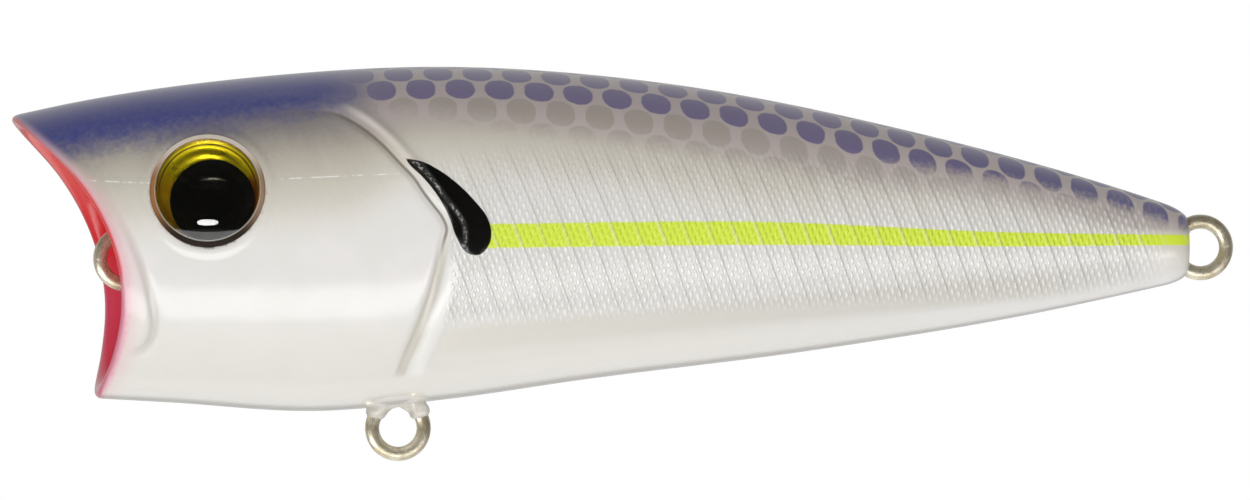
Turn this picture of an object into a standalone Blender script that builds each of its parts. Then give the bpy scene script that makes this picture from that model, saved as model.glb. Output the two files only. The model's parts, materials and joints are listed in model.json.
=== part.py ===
"""Topwater popper: a hollow fishing lure in two moulded halves, with its wire forms, eyes, ballast and rattles.

The mouth faces -X, the tail +X, +Z is up, and the two halves of the body meet on Y = 0. The origin is the
centre of the line tie's ring. Every length below is in millimetres, and MM turns it into the scene's metres.
"""

import math

import bmesh
import bpy
from mathutils import Matrix
from mathutils import Vector

MM = 0.001
OBJECT_NAME = "topwater_popper"

# Body outlines. Each is a few (position, value) points that a smooth curve runs through.
BACK = (
    (-9.0, 8.7), (-2.4, 10.1), (9.1, 11.63), (19.4, 12.21),
    (34.7, 11.14), (50.0, 8.17), (65.2, 3.97), (68.5, 2.85),
)
BELLY = (
    (-9.0, -8.5), (2.7, -9.15), (12.4, -9.7), (20.4, -8.97),
    (29.0, -7.75), (44.0, -5.85), (58.0, -3.55), (68.5, -1.3),
)
HALF_WIDTH = (
    (-9.0, 5.9), (0.0, 7.1), (9.0, 8.0), (18.0, 8.3),
    (28.0, 8.05), (40.0, 7.15), (54.0, 5.0), (68.5, 2.2),
)
# How far forward the mouth's rim reaches at each height
RIM = (
    (-9.2, -2.2), (-6.0, -1.2), (-2.6, -0.83), (0.5, -1.34),
    (5.2, -3.8), (9.2, -7.75),
)
SECTION_EXPONENT = 2.05

# Body details
TAIL_X = 67.95
TAIL_EDGE = 0.45
LIP_THICKNESS = 1.0
SWEEP_END = 16.0
CUP_FLOOR_X = 2.2
CUP_SQUARENESS = 2.6
WALL = 1.4
CAVITY_START = 3.9
CAVITY_END = 58.0
SEAM_GAP = 0.1

# Wire forms: a big ring outside, a small loop on a moulded pin inside, and two wires side by side between
WIRE_RADIUS = 0.45
RING_RADIUS = 1.65
LOOP_RADIUS = 1.15
WAIST_OFFSET = 0.5
WAIST_FILLET = 0.7
LINE_TIE_SHANK = 5.2
BELLY_SHANK = 4.4
TAIL_SHANK = 4.6
BELLY_RING = (17.36, -10.79)
TAIL_RING = (68.88, 0.71)
BOSS_WALL = 1.0
PIN_REACH = 1.3

# Eyes: a clear dome over a black pupil film and a gold iris foil, in a round socket
EYE_X = 4.57
EYE_Z = 4.37
EYE_RADIUS = 3.65
EYE_DOME_TOP = 0.9
EYE_DOME_EDGE = -0.2
EYE_DOME_BACK = -0.8
PUPIL_RADIUS = 2.35
PUPIL_OFFSET = (0.45, -0.4)
PUPIL_SPAN = (-0.97, -0.85)
IRIS_RADIUS = 3.4
IRIS_SPAN = (-1.14, -1.02)
SOCKET_DEPTH = 1.2
SOCKET_WALL = 1.4

# Loads inside: brass slugs held fast, and steel balls that slide across the body in their own cells
SLUGS = {"belly_ballast": (24.2, -2.6, 2.7), "tail_ballast": (54.0, 1.2, 2.5)}
BALL_RADIUS = 1.75
BALL_STATIONS = (30.8, 36.6, 42.4, 48.2)
BALL_HEIGHTS = (2.3, 2.1, 1.9, 1.6)
BALL_CLEARANCE = 0.2
CELL_WALL = 1.0

# Small gap that keeps pieces which touch in the hand apart in the model. It is a third of the usual one,
# because the wire is only 0.9 mm thick.
FIT_GAP = 0.1

# Mesh density
RING_POINTS = 28
BODY_STATIONS = 26
CAVITY_STATIONS = 12
CUP_ANGLES = (14, 30, 46, 62, 78)
LIP_STEPS = 4
TAIL_STEPS = 3
ROUND_SEGMENTS = 20
SWEEP_ITERATIONS = 12
FAR = 30.0


# ---------------------------------------------------------------- curves and the body's surface

def curve_through(points):
    """Return a function that gives the smooth curve through (position, value) points."""
    spots = [point[0] for point in points]
    values = [point[1] for point in points]
    last = len(points) - 1
    steps = [(values[i + 1] - values[i]) / (spots[i + 1] - spots[i]) for i in range(last)]
    slopes = [steps[0]]
    for i in range(1, last):
        before = spots[i] - spots[i - 1]
        after = spots[i + 1] - spots[i]
        slopes.append((steps[i - 1] * after + steps[i] * before) / (before + after))
    slopes.append(steps[-1])

    def value_at(spot):
        i = 0
        while i < last - 1 and spot > spots[i + 1]:
            i += 1
        width = spots[i + 1] - spots[i]
        t = (spot - spots[i]) / width
        if t < 0.0:
            return values[i] + slopes[i] * (spot - spots[i])
        if t > 1.0:
            return values[i + 1] + slopes[i + 1] * (spot - spots[i + 1])
        start = values[i] * (1 + 2 * t) * (1 - t) ** 2 + slopes[i] * width * t * (1 - t) ** 2
        end = values[i + 1] * t * t * (3 - 2 * t) + slopes[i + 1] * width * t * t * (t - 1)
        return start + end

    return value_at


back_at = curve_through(BACK)
belly_at = curve_through(BELLY)
half_width_at = curve_through(HALF_WIDTH)
rim_at = curve_through(RIM)
MOUTH_X = max(point[1] for point in RIM)


def signed_power(value, power):
    return math.copysign(abs(value) ** power, value)


def section_point(x, angle, inset=0.0):
    """The (y, z) of a point on the upright section at x; the angle is 90 degrees on the back."""
    power = 2.0 / SECTION_EXPONENT
    top = back_at(x) - inset
    bottom = belly_at(x) + inset
    y = (half_width_at(x) - inset) * signed_power(math.cos(angle), power)
    z = (top + bottom) / 2 + (top - bottom) / 2 * signed_power(math.sin(angle), power)
    return y, z


def skin_point(station, angle, inset=0.0):
    """A point of the outer skin; near the mouth a station bends to the mouth's swept rim."""
    along = min(1.0, max(0.0, (station - MOUTH_X) / (SWEEP_END - MOUTH_X)))
    fade = (1.0 - along) ** 2
    x = station
    for _ in range(SWEEP_ITERATIONS):
        y, z = section_point(x, angle, inset)
        x = station + (rim_at(z) - MOUTH_X) * fade
    return Vector((x, y, z))


def skin_half_width(x, z):
    """How far the outer skin is from the seam plane at (x, z)."""
    top = back_at(x)
    bottom = belly_at(x)
    height = abs(z - (top + bottom) / 2) / ((top - bottom) / 2)
    return half_width_at(x) * (1.0 - height ** SECTION_EXPONENT) ** (1.0 / SECTION_EXPONENT)


def skin_normal(x, z, side):
    """The outward direction of the skin at (x, z), on the side whose Y has this sign."""
    step = 0.05
    slope_x = (skin_half_width(x + step, z) - skin_half_width(x - step, z)) / (2 * step)
    slope_z = (skin_half_width(x, z + step) - skin_half_width(x, z - step)) / (2 * step)
    return Vector((-slope_x, side, -slope_z)).normalized()


# ---------------------------------------------------------------- general helpers

def clear_scene():
    for thing in list(bpy.data.objects):
        bpy.data.objects.remove(thing, do_unlink=True)
    for collection in list(bpy.data.collections):
        bpy.data.collections.remove(collection)


def new_collection(name):
    collection = bpy.data.collections.new(name)
    bpy.context.scene.collection.children.link(collection)
    return collection


def new_material(name, colour, roughness, metallic):
    material = bpy.data.materials.new(name)
    material.use_nodes = True
    shader = material.node_tree.nodes["Principled BSDF"]
    shader.inputs["Base Color"].default_value = (*colour, 1.0)
    shader.inputs["Roughness"].default_value = roughness
    shader.inputs["Metallic"].default_value = metallic
    return material


def add_mesh(name, bm, collection, material=None):
    """Make an object of a bmesh drawn in millimetres."""
    bmesh.ops.scale(bm, vec=(MM, MM, MM), verts=bm.verts)
    mesh = bpy.data.meshes.new(name)
    bm.to_mesh(mesh)
    bm.free()
    mesh.shade_smooth()
    mesh.set_sharp_from_angle(angle=math.radians(40))
    if material:
        mesh.materials.append(material)
    thing = bpy.data.objects.new(name, mesh)
    collection.objects.link(thing)
    return thing


def hide_cutter(thing):
    thing.hide_render = True
    thing.display_type = "WIRE"


def cylinder_mesh(radius, low, high):
    """A cylinder along Z from low to high."""
    bm = bmesh.new()
    middle = Matrix.Translation((0.0, 0.0, (low + high) / 2))
    bmesh.ops.create_cone(bm, cap_ends=True, segments=ROUND_SEGMENTS, radius1=radius, radius2=radius,
                          depth=high - low, matrix=middle)
    return bm


def cross_cylinder(name, centre, radius, low, high, collection, material=None):
    """A cylinder across the body: centre is its (x, z), and low and high are its ends in Y."""
    thing = add_mesh(name, cylinder_mesh(radius, low, high), collection, material)
    thing.rotation_euler = (math.radians(-90), 0.0, 0.0)
    thing.location = (centre[0] * MM, 0.0, centre[1] * MM)
    return thing


def box(name, low, high, collection):
    bm = bmesh.new()
    bmesh.ops.create_cube(bm, size=1.0)
    size = [high[i] - low[i] for i in range(3)]
    middle = [(high[i] + low[i]) / 2 for i in range(3)]
    bmesh.ops.scale(bm, vec=size, verts=bm.verts)
    bmesh.ops.translate(bm, vec=middle, verts=bm.verts)
    return add_mesh(name, bm, collection)


def add_boolean(thing, operation, operand):
    modifier = thing.modifiers.new(operation.lower(), "BOOLEAN")
    modifier.operation = operation
    modifier.solver = "EXACT"
    if isinstance(operand, bpy.types.Collection):
        modifier.operand_type = "COLLECTION"
        modifier.collection = operand
    else:
        modifier.object = operand


def loft(rings):
    """A closed solid through rings of points, with one face over each end."""
    bm = bmesh.new()
    rows = [[bm.verts.new(point) for point in ring] for ring in rings]
    for row, following in zip(rows, rows[1:]):
        for i in range(len(row)):
            j = (i + 1) % len(row)
            bm.faces.new((row[i], row[j], following[j], following[i]))
    bm.faces.new(rows[0])
    bm.faces.new(rows[-1])
    bmesh.ops.recalc_face_normals(bm, faces=bm.faces)
    return bm


def ring_angles():
    return [2 * math.pi * i / RING_POINTS for i in range(RING_POINTS)]


# ---------------------------------------------------------------- body shells

def cup_rings():
    """The scoop of the mouth, from its floor out to the inner edge of the lip."""
    rings = []
    power = 2.0 / CUP_SQUARENESS
    for degrees in reversed(CUP_ANGLES):
        inward = math.cos(math.radians(degrees)) ** power
        deep = math.sin(math.radians(degrees)) ** power
        ring = []
        for angle in ring_angles():
            edge = skin_point(MOUTH_X + LIP_THICKNESS / 2, angle, LIP_THICKNESS)
            x = edge.x + (CUP_FLOOR_X - edge.x) * deep
            ring.append((x, edge.y * inward, edge.z * inward))
        rings.append(ring)
    return rings


def lip_rings():
    """The half-round edge of the mouth, from the inside to the outside."""
    rings = []
    radius = LIP_THICKNESS / 2
    for i in range(LIP_STEPS + 1):
        turn = math.pi * (1 - i / LIP_STEPS)
        station = MOUTH_X + radius * (1 - math.sin(turn))
        inset = radius * (1 - math.cos(turn))
        rings.append([skin_point(station, angle, inset) for angle in ring_angles()])
    return rings


def outer_rings():
    """The outer skin behind the lip, and the rounded edge of the flat tail."""
    rings = []
    start = MOUTH_X + LIP_THICKNESS / 2
    end = TAIL_X - TAIL_EDGE
    for i in range(1, BODY_STATIONS + 1):
        station = start + (end - start) * i / BODY_STATIONS
        rings.append([skin_point(station, angle) for angle in ring_angles()])
    for i in range(1, TAIL_STEPS + 1):
        turn = math.pi / 2 * i / TAIL_STEPS
        station = end + TAIL_EDGE * math.sin(turn)
        inset = TAIL_EDGE * (1 - math.cos(turn))
        rings.append([skin_point(station, angle, inset) for angle in ring_angles()])
    return rings


def make_cavity(structure, cutters):
    """The hollow of the body, less the bosses and cell walls that stand in it."""
    rings = []
    for i in range(CAVITY_STATIONS + 1):
        x = CAVITY_START + (CAVITY_END - CAVITY_START) * i / CAVITY_STATIONS
        ring = []
        for angle in ring_angles():
            y, z = section_point(x, angle, WALL)
            ring.append((x, y, z))
        rings.append(ring)
    cavity = add_mesh("cavity_cutter", loft(rings), cutters)
    add_boolean(cavity, "DIFFERENCE", structure)
    hide_cutter(cavity)
    return cavity


def make_shell(name, side, cavity, cuts, pins, parts, material, cutters):
    """One half of the body, on the side whose Y has this sign."""
    shell = add_mesh(name, loft(cup_rings() + lip_rings() + outer_rings()), parts, material)
    edge = side * SEAM_GAP / 2
    low_y = min(edge, -side * FAR)
    high_y = max(edge, -side * FAR)
    other_half = box(name + "_half_cutter", (-FAR, low_y, -FAR), (TAIL_X + FAR, high_y, FAR), cutters)
    hide_cutter(other_half)
    add_boolean(shell, "DIFFERENCE", other_half)
    add_boolean(shell, "DIFFERENCE", cavity)
    add_boolean(shell, "DIFFERENCE", cuts)
    if pins:
        add_boolean(shell, "UNION", pins)
    return shell


# ---------------------------------------------------------------- wire forms

def hangers():
    """Each wire form: its name, ring centre, shank direction and shank length, all in the seam plane."""
    return (
        ("line_tie", (0.0, 0.0), (1, 0), LINE_TIE_SHANK),
        ("belly_hanger", BELLY_RING, (0, 1), BELLY_SHANK),
        ("tail_hanger", TAIL_RING, (-1, 0), TAIL_SHANK),
    )


def arc(centre, radius, start, end, steps):
    """Points of an arc, both ends included; the angles are in radians."""
    points = []
    for i in range(steps + 1):
        turn = start + (end - start) * i / steps
        points.append((centre[0] + radius * math.cos(turn), centre[1] + radius * math.sin(turn)))
    return points


def wire_outline(shank):
    """The closed middle line of a wire form: its ring is at the origin and its loop at (shank, 0)."""
    rise = WAIST_OFFSET + WAIST_FILLET
    ring_reach = RING_RADIUS + WAIST_FILLET
    loop_reach = LOOP_RADIUS + WAIST_FILLET
    ring_turn = math.asin(rise / ring_reach)
    loop_turn = math.asin(rise / loop_reach)
    near = (ring_reach * math.cos(ring_turn), rise)
    far = (shank - loop_reach * math.cos(loop_turn), rise)
    half = arc((0.0, 0.0), RING_RADIUS, math.pi, ring_turn, 7)
    half += arc(near, WAIST_FILLET, ring_turn - math.pi, -math.pi / 2, 2)[1:]
    half += arc(far, WAIST_FILLET, -math.pi / 2, -loop_turn, 2)
    half += arc((shank, 0.0), LOOP_RADIUS, math.pi - loop_turn, 0.0, 5)[1:]
    other_half = [(along, -across) for along, across in reversed(half[1:-1])]
    return half + other_half


def in_seam_plane(centre, direction, along, across):
    """Turn a wire form's own (along, across) into the body's (x, z)."""
    x = centre[0] + direction[0] * along - direction[1] * across
    z = centre[1] + direction[1] * along + direction[0] * across
    return x, z


def make_hanger(name, centre, direction, shank, parts, material):
    curve = bpy.data.curves.new(name, "CURVE")
    curve.dimensions = "3D"
    curve.bevel_depth = WIRE_RADIUS * MM
    curve.bevel_resolution = 2
    outline = wire_outline(shank)
    spline = curve.splines.new("POLY")
    spline.points.add(len(outline) - 1)
    for point, (along, across) in zip(spline.points, outline):
        x, z = in_seam_plane(centre, direction, along, across)
        point.co = (x * MM, 0.0, z * MM, 1.0)
    spline.use_cyclic_u = True
    curve.materials.append(material)
    thing = bpy.data.objects.new(name, curve)
    parts.objects.link(thing)
    return thing


def add_hanger_cuts(name, centre, direction, shank, structure, cuts):
    """The boss inside the body that holds a wire form, and the slot that the wire lies in."""
    slot = WIRE_RADIUS + FIT_GAP
    loop_centre = in_seam_plane(centre, direction, shank, 0.0)
    ring_slot = RING_RADIUS + slot
    loop_slot = LOOP_RADIUS + slot
    hide_cutter(cross_cylinder(name + "_boss", loop_centre, loop_slot + BOSS_WALL, -FAR, FAR, structure))
    hide_cutter(cross_cylinder(name + "_ring_slot", centre, ring_slot, -slot, slot, cuts))
    hide_cutter(cross_cylinder(name + "_loop_slot", loop_centre, loop_slot, -slot, slot, cuts))
    half = WAIST_OFFSET + slot
    corner = in_seam_plane(centre, direction, 0.0, -half)
    opposite = in_seam_plane(centre, direction, shank, half)
    low = (min(corner[0], opposite[0]), -slot, min(corner[1], opposite[1]))
    high = (max(corner[0], opposite[0]), slot, max(corner[1], opposite[1]))
    hide_cutter(box(name + "_waist_slot", low, high, cuts))
    return loop_centre


def add_pin_and_socket(name, loop_centre, pins, right_cuts):
    """The pin of the left shell that the loop sits on, and its blind hole in the right shell."""
    pin_radius = LOOP_RADIUS - WIRE_RADIUS - FIT_GAP
    base = -WIRE_RADIUS - FIT_GAP - BOSS_WALL
    hide_cutter(cross_cylinder(name + "_pin", loop_centre, pin_radius, base, PIN_REACH, pins))
    end = PIN_REACH + FIT_GAP
    hide_cutter(cross_cylinder(name + "_socket", loop_centre, pin_radius + FIT_GAP, -end, end, right_cuts))


# ---------------------------------------------------------------- eyes

def eye_place(side):
    """Where an eye's middle is on the skin, and which way it looks."""
    centre = Vector((EYE_X, side * skin_half_width(EYE_X, EYE_Z), EYE_Z))
    return centre, skin_normal(EYE_X, EYE_Z, side)


def set_in_eye(thing, side, offset=(0.0, 0.0)):
    """Put a piece drawn about Z onto the eye's axis, moved aside by (rearward, upward)."""
    centre, outward = eye_place(side)
    rearward = Vector((1.0, 0.0, 0.0))
    rearward = (rearward - outward * rearward.dot(outward)).normalized()
    upward = Vector((0.0, 0.0, 1.0))
    upward = (upward - outward * upward.dot(outward)).normalized()
    centre = centre + rearward * offset[0] + upward * offset[1]
    thing.rotation_mode = "QUATERNION"
    thing.rotation_quaternion = outward.to_track_quat("Z", "Y")
    thing.location = centre * MM


def make_dome(name, side, parts, material):
    """The clear dome: a turned profile that runs from the top, down its outer side, to the flat back."""
    rise = EYE_DOME_TOP - EYE_DOME_EDGE
    ball = (EYE_RADIUS ** 2 + rise ** 2) / (2 * rise)
    widest = math.asin(EYE_RADIUS / ball)
    steps = 5
    profile = []
    for i in range(steps + 1):
        turn = widest * i / steps
        profile.append((ball * math.sin(turn), EYE_DOME_TOP - ball * (1 - math.cos(turn))))
    profile.append((EYE_RADIUS, EYE_DOME_BACK))
    profile.append((0.0, EYE_DOME_BACK))
    mesh = bpy.data.meshes.new(name)
    bm = bmesh.new()
    spots = [bm.verts.new((radius * MM, 0.0, height * MM)) for radius, height in profile]
    for first, second in zip(spots, spots[1:]):
        bm.edges.new((first, second))
    bm.to_mesh(mesh)
    bm.free()
    mesh.materials.append(material)
    dome = bpy.data.objects.new(name, mesh)
    parts.objects.link(dome)
    screw = dome.modifiers.new("turn", "SCREW")
    screw.steps = ROUND_SEGMENTS
    screw.render_steps = ROUND_SEGMENTS
    screw.use_merge_vertices = True
    screw.merge_threshold = 0.000001
    screw.use_smooth_shade = True
    set_in_eye(dome, side)
    return dome


def make_eye(prefix, side, parts, structure, cuts, finishes):
    make_dome(prefix + "_eye_dome", side, parts, finishes["dome"])
    pupil = add_mesh(prefix + "_eye_pupil", cylinder_mesh(PUPIL_RADIUS, *PUPIL_SPAN), parts, finishes["pupil"])
    set_in_eye(pupil, side, PUPIL_OFFSET)
    iris = add_mesh(prefix + "_eye_iris", cylinder_mesh(IRIS_RADIUS, *IRIS_SPAN), parts, finishes["iris"])
    set_in_eye(iris, side)
    socket_radius = EYE_RADIUS + FIT_GAP
    socket = add_mesh(prefix + "_eye_socket", cylinder_mesh(socket_radius, -SOCKET_DEPTH, EYE_RADIUS), cuts)
    floor = -SOCKET_DEPTH - SOCKET_WALL
    boss = add_mesh(prefix + "_eye_boss", cylinder_mesh(socket_radius + WALL, floor, EYE_RADIUS), structure)
    for cutter in (socket, boss):
        set_in_eye(cutter, side)
        hide_cutter(cutter)


# ---------------------------------------------------------------- ballast and rattles

def cell_reach(x, z, radius):
    """How far from the seam plane a cell of this radius may run and still leave the full wall."""
    return min(skin_half_width(x, z + radius), skin_half_width(x, z - radius)) - WALL


def add_cell(name, x, z, radius, structure, cuts):
    """A round cell across the body, its wall standing in the hollow; returns its reach to each side."""
    reach = cell_reach(x, z, radius)
    hide_cutter(cross_cylinder(name + "_cell_wall", (x, z), radius + CELL_WALL, -FAR, FAR, structure))
    hide_cutter(cross_cylinder(name + "_cell", (x, z), radius, -reach, reach, cuts))
    return reach


def make_slug(name, x, z, radius, parts, structure, cuts, material):
    reach = add_cell(name, x, z, radius + FIT_GAP, structure, cuts)
    end = reach - FIT_GAP
    cross_cylinder(name, (x, z), radius, -end, end, parts, material)


def make_ball(name, x, z, parts, structure, cuts, material):
    add_cell(name, x, z, BALL_RADIUS + BALL_CLEARANCE, structure, cuts)
    bm = bmesh.new()
    bmesh.ops.create_uvsphere(bm, u_segments=16, v_segments=10, radius=BALL_RADIUS)
    ball = add_mesh(name, bm, parts, material)
    ball.location = (x * MM, 0.0, z * MM)


# ---------------------------------------------------------------- the whole lure

def main():
    clear_scene()
    parts = new_collection(OBJECT_NAME)
    cutters = new_collection("cutters")
    structure = new_collection("structure_cutters")
    cuts = new_collection("cuts")
    right_cuts = new_collection("right_cuts")
    pins = new_collection("pin_guides")
    paint = new_material("pearl_paint", (0.83, 0.82, 0.79), 0.25, 0.0)
    wire = new_material("nickel_wire", (0.60, 0.57, 0.50), 0.3, 1.0)
    brass = new_material("brass", (0.72, 0.55, 0.28), 0.35, 1.0)
    steel = new_material("ball_steel", (0.70, 0.70, 0.72), 0.15, 1.0)
    finishes = {
        "dome": new_material("amber_clear", (0.62, 0.47, 0.30), 0.05, 0.0),
        "pupil": new_material("pupil_black", (0.01, 0.01, 0.01), 0.2, 0.0),
        "iris": new_material("iris_gold", (0.85, 0.65, 0.05), 0.2, 1.0),
    }
    for name, centre, direction, shank in hangers():
        make_hanger(name, centre, direction, shank, parts, wire)
        loop_centre = add_hanger_cuts(name, centre, direction, shank, structure, cuts)
        add_pin_and_socket(name, loop_centre, pins, right_cuts)
    for prefix, side in (("left", -1), ("right", 1)):
        make_eye(prefix, side, parts, structure, cuts, finishes)
    for name, (x, z, radius) in SLUGS.items():
        make_slug(name, x, z, radius, parts, structure, cuts, brass)
    for i, (x, z) in enumerate(zip(BALL_STATIONS, BALL_HEIGHTS)):
        make_ball(f"rattle_ball_{i + 1}", x, z, parts, structure, cuts, steel)
    cavity = make_cavity(structure, cutters)
    make_shell("left_shell", -1, cavity, cuts, pins, parts, paint, cutters)
    right_shell = make_shell("right_shell", 1, cavity, cuts, None, parts, paint, cutters)
    add_boolean(right_shell, "DIFFERENCE", right_cuts)


main()
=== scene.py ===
"""Looks of the topwater popper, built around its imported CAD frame.

The mouth faces -X, the tail +X, +Z is up, and the two halves of the body meet on Y = 0. Shapes are worked
out in millimetres, and MM turns them into the frame's metres. The outlines are those of the CAD part, except
that the lip flares out a little and the tail's edge is rounder.
"""

import json
import math

import bmesh
import bpy
import numpy as np
from mathutils import Matrix
from mathutils import Vector
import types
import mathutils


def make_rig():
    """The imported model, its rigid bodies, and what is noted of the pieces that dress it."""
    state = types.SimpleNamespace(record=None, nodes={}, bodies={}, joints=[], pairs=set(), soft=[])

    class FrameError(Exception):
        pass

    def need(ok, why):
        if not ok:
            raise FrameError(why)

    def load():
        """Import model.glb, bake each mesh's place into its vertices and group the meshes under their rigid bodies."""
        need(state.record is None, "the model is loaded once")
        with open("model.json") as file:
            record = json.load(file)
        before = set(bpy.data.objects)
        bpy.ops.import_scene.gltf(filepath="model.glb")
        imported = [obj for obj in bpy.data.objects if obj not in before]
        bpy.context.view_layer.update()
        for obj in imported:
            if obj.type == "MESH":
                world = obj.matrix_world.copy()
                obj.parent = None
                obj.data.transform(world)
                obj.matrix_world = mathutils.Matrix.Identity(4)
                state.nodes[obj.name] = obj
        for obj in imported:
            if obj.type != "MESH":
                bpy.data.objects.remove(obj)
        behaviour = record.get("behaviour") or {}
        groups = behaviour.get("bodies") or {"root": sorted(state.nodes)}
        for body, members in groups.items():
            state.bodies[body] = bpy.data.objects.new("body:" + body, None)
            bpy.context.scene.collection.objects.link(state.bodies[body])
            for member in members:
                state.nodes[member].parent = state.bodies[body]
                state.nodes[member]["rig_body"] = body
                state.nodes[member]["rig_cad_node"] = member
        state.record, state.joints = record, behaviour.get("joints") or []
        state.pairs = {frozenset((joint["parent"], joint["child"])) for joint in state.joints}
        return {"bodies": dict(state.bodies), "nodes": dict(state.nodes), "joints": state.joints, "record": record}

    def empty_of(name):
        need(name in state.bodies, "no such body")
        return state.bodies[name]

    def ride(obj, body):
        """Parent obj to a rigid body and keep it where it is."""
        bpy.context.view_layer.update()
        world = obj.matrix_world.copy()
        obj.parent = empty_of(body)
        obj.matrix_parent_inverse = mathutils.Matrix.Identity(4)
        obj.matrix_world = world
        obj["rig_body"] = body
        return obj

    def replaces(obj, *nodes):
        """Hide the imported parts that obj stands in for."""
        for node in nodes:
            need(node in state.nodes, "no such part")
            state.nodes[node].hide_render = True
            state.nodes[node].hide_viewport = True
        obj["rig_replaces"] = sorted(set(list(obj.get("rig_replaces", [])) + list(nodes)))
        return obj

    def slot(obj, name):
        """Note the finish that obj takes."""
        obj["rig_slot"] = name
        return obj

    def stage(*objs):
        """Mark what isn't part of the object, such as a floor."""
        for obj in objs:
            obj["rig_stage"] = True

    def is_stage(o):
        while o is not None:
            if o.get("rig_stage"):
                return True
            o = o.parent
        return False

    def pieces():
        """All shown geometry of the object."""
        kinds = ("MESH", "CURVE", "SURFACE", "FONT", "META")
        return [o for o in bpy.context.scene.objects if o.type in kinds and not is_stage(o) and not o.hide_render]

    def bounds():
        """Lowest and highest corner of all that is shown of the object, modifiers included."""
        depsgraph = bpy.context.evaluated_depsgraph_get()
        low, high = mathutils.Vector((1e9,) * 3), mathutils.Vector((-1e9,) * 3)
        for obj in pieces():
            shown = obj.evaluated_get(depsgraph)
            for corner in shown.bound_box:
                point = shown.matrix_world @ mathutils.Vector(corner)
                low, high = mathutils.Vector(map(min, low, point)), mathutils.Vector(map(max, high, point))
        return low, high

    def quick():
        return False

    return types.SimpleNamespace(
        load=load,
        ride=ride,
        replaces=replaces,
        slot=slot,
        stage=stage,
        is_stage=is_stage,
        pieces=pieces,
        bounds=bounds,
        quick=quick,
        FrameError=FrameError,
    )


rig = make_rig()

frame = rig.load()
cad_low, cad_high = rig.bounds()

MM = 0.001
BODY = "lure_body"

# ---------------------------------------------------------------- driving dimensions, in millimetres

# Body outlines: (position, value) points that a smooth curve runs through
BACK = (
    (-9.0, 8.7), (-2.4, 10.1), (9.1, 11.63), (19.4, 12.21),
    (34.7, 11.14), (50.0, 8.17), (65.2, 3.97), (68.5, 2.85),
)
BELLY = (
    (-9.0, -8.5), (2.7, -9.15), (12.4, -9.7), (20.4, -8.97),
    (29.0, -7.75), (44.0, -5.85), (58.0, -3.55), (68.5, -1.3),
)
HALF_WIDTH = (
    (-9.0, 5.9), (0.0, 7.1), (9.0, 8.0), (18.0, 8.3),
    (28.0, 8.05), (40.0, 7.15), (54.0, 5.0), (68.5, 2.2),
)
RIM = (
    (-9.2, -2.2), (-6.0, -1.2), (-2.6, -0.83), (0.5, -1.34),
    (5.2, -3.8), (9.2, -7.75),
)
SECTION_EXPONENT = 2.05
MOUTH_X = max(point[1] for point in RIM)
SWEEP_END = 16.0
LIP_THICKNESS = 1.0
FLARE = 0.5
FLARE_REACH = 2.6
RED_OVERLAP = 0.13
CUP_FLOOR_X = 2.2
CUP_SQUARENESS = 2.6
TAIL_X = 67.95
TAIL_EDGE = 0.45
TAIL_ROUND = 1.5
SEAM = 0.006

# Wire forms
WIRE_RADIUS = 0.45
RING_RADIUS = 1.65
LOOP_RADIUS = 1.15
WAIST_OFFSET = 0.5
WAIST_FILLET = 0.7
WIRES = (
    ("line_tie", (0.0, 0.0), (1, 0), 5.2),
    ("belly_hanger", (17.36, -10.79), (0, 1), 4.4),
    ("tail_hanger", (68.88, 0.71), (-1, 0), 4.6),
)
SLOT_HALF = 0.57

# Eyes
EYE_X = 4.57
EYE_Z = 4.37
EYE_RADIUS = 3.65
SOCKET_RADIUS = 3.67
SOCKET_DEPTH = 1.25

# Marks on the skin: (x, z) points of smooth curves
GILL = (
    (4.0, 8.1), (6.5, 8.85), (9.3, 9.4), (10.6, 9.46), (12.14, 9.28), (13.03, 9.1), (14.26, 8.43),
    (15.6, 7.33), (16.76, 6.06), (17.7, 5.02), (18.21, 4.23), (18.81, 3.42), (19.39, 2.65),
    (19.68, 1.95), (19.48, 0.95), (19.23, -0.33), (18.84, -2.02), (18.29, -3.73), (17.84, -5.01),
    (17.32, -6.29), (16.92, -7.57),
)
LIP_CREASE = (
    (-3.3, 6.1), (-2.1, 4.5), (-0.96, 2.45), (-0.27, 1.09), (0.49, -0.81), (1.06, -2.71), (1.25, -3.8),
    (1.19, -4.88), (0.64, -5.7), (-0.09, -5.97), (-0.84, -6.13),
)
COMMA = (
    (17.11, 6.36), (18.29, 6.11), (19.32, 5.56), (20.64, 4.53), (21.6, 3.51), (22.26, 2.63), (22.52, 1.75),
    (22.49, 1.17), (22.19, 0.58), (21.82, 0.25), (21.38, 0.22), (20.96, 0.36), (20.66, 0.66),
    (20.44, 1.05), (20.2, 1.53), (19.91, 2.41), (19.47, 3.36), (18.81, 4.39), (18.07, 5.27),
    (17.33, 6.0),
)
COMMA_RIDGE = (
    (17.5, 6.25), (18.1, 5.75), (18.81, 4.94), (19.76, 3.65), (20.35, 2.92), (20.79, 2.12), (20.86, 1.46),
    (20.84, 1.05), (20.72, 0.7),
)
STRIPE_TOP = ((22.4, 2.2), (39.9, 2.33), (55.5, 1.69), (67.8, 1.5))
STRIPE_BOTTOM = ((22.4, 0.67), (39.9, 0.86), (55.5, 0.77), (67.8, 0.86))
VIOLET_REACH = (
    (-9.0, 5.9), (5.0, 6.1), (14.0, 5.6), (40.0, 5.7), (47.0, 5.2), (52.0, 4.1), (58.0, 3.0), (68.0, 1.8),
)
WEAVE_TOP = ((16.0, 5.0), (22.0, 6.0), (40.0, 6.0), (55.0, 4.2), (68.0, 2.4))
WEAVE_BOTTOM = ((16.0, -4.3), (22.0, -4.1), (34.0, -3.4), (46.0, -2.9), (59.0, -2.3), (66.0, -1.3))

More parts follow.
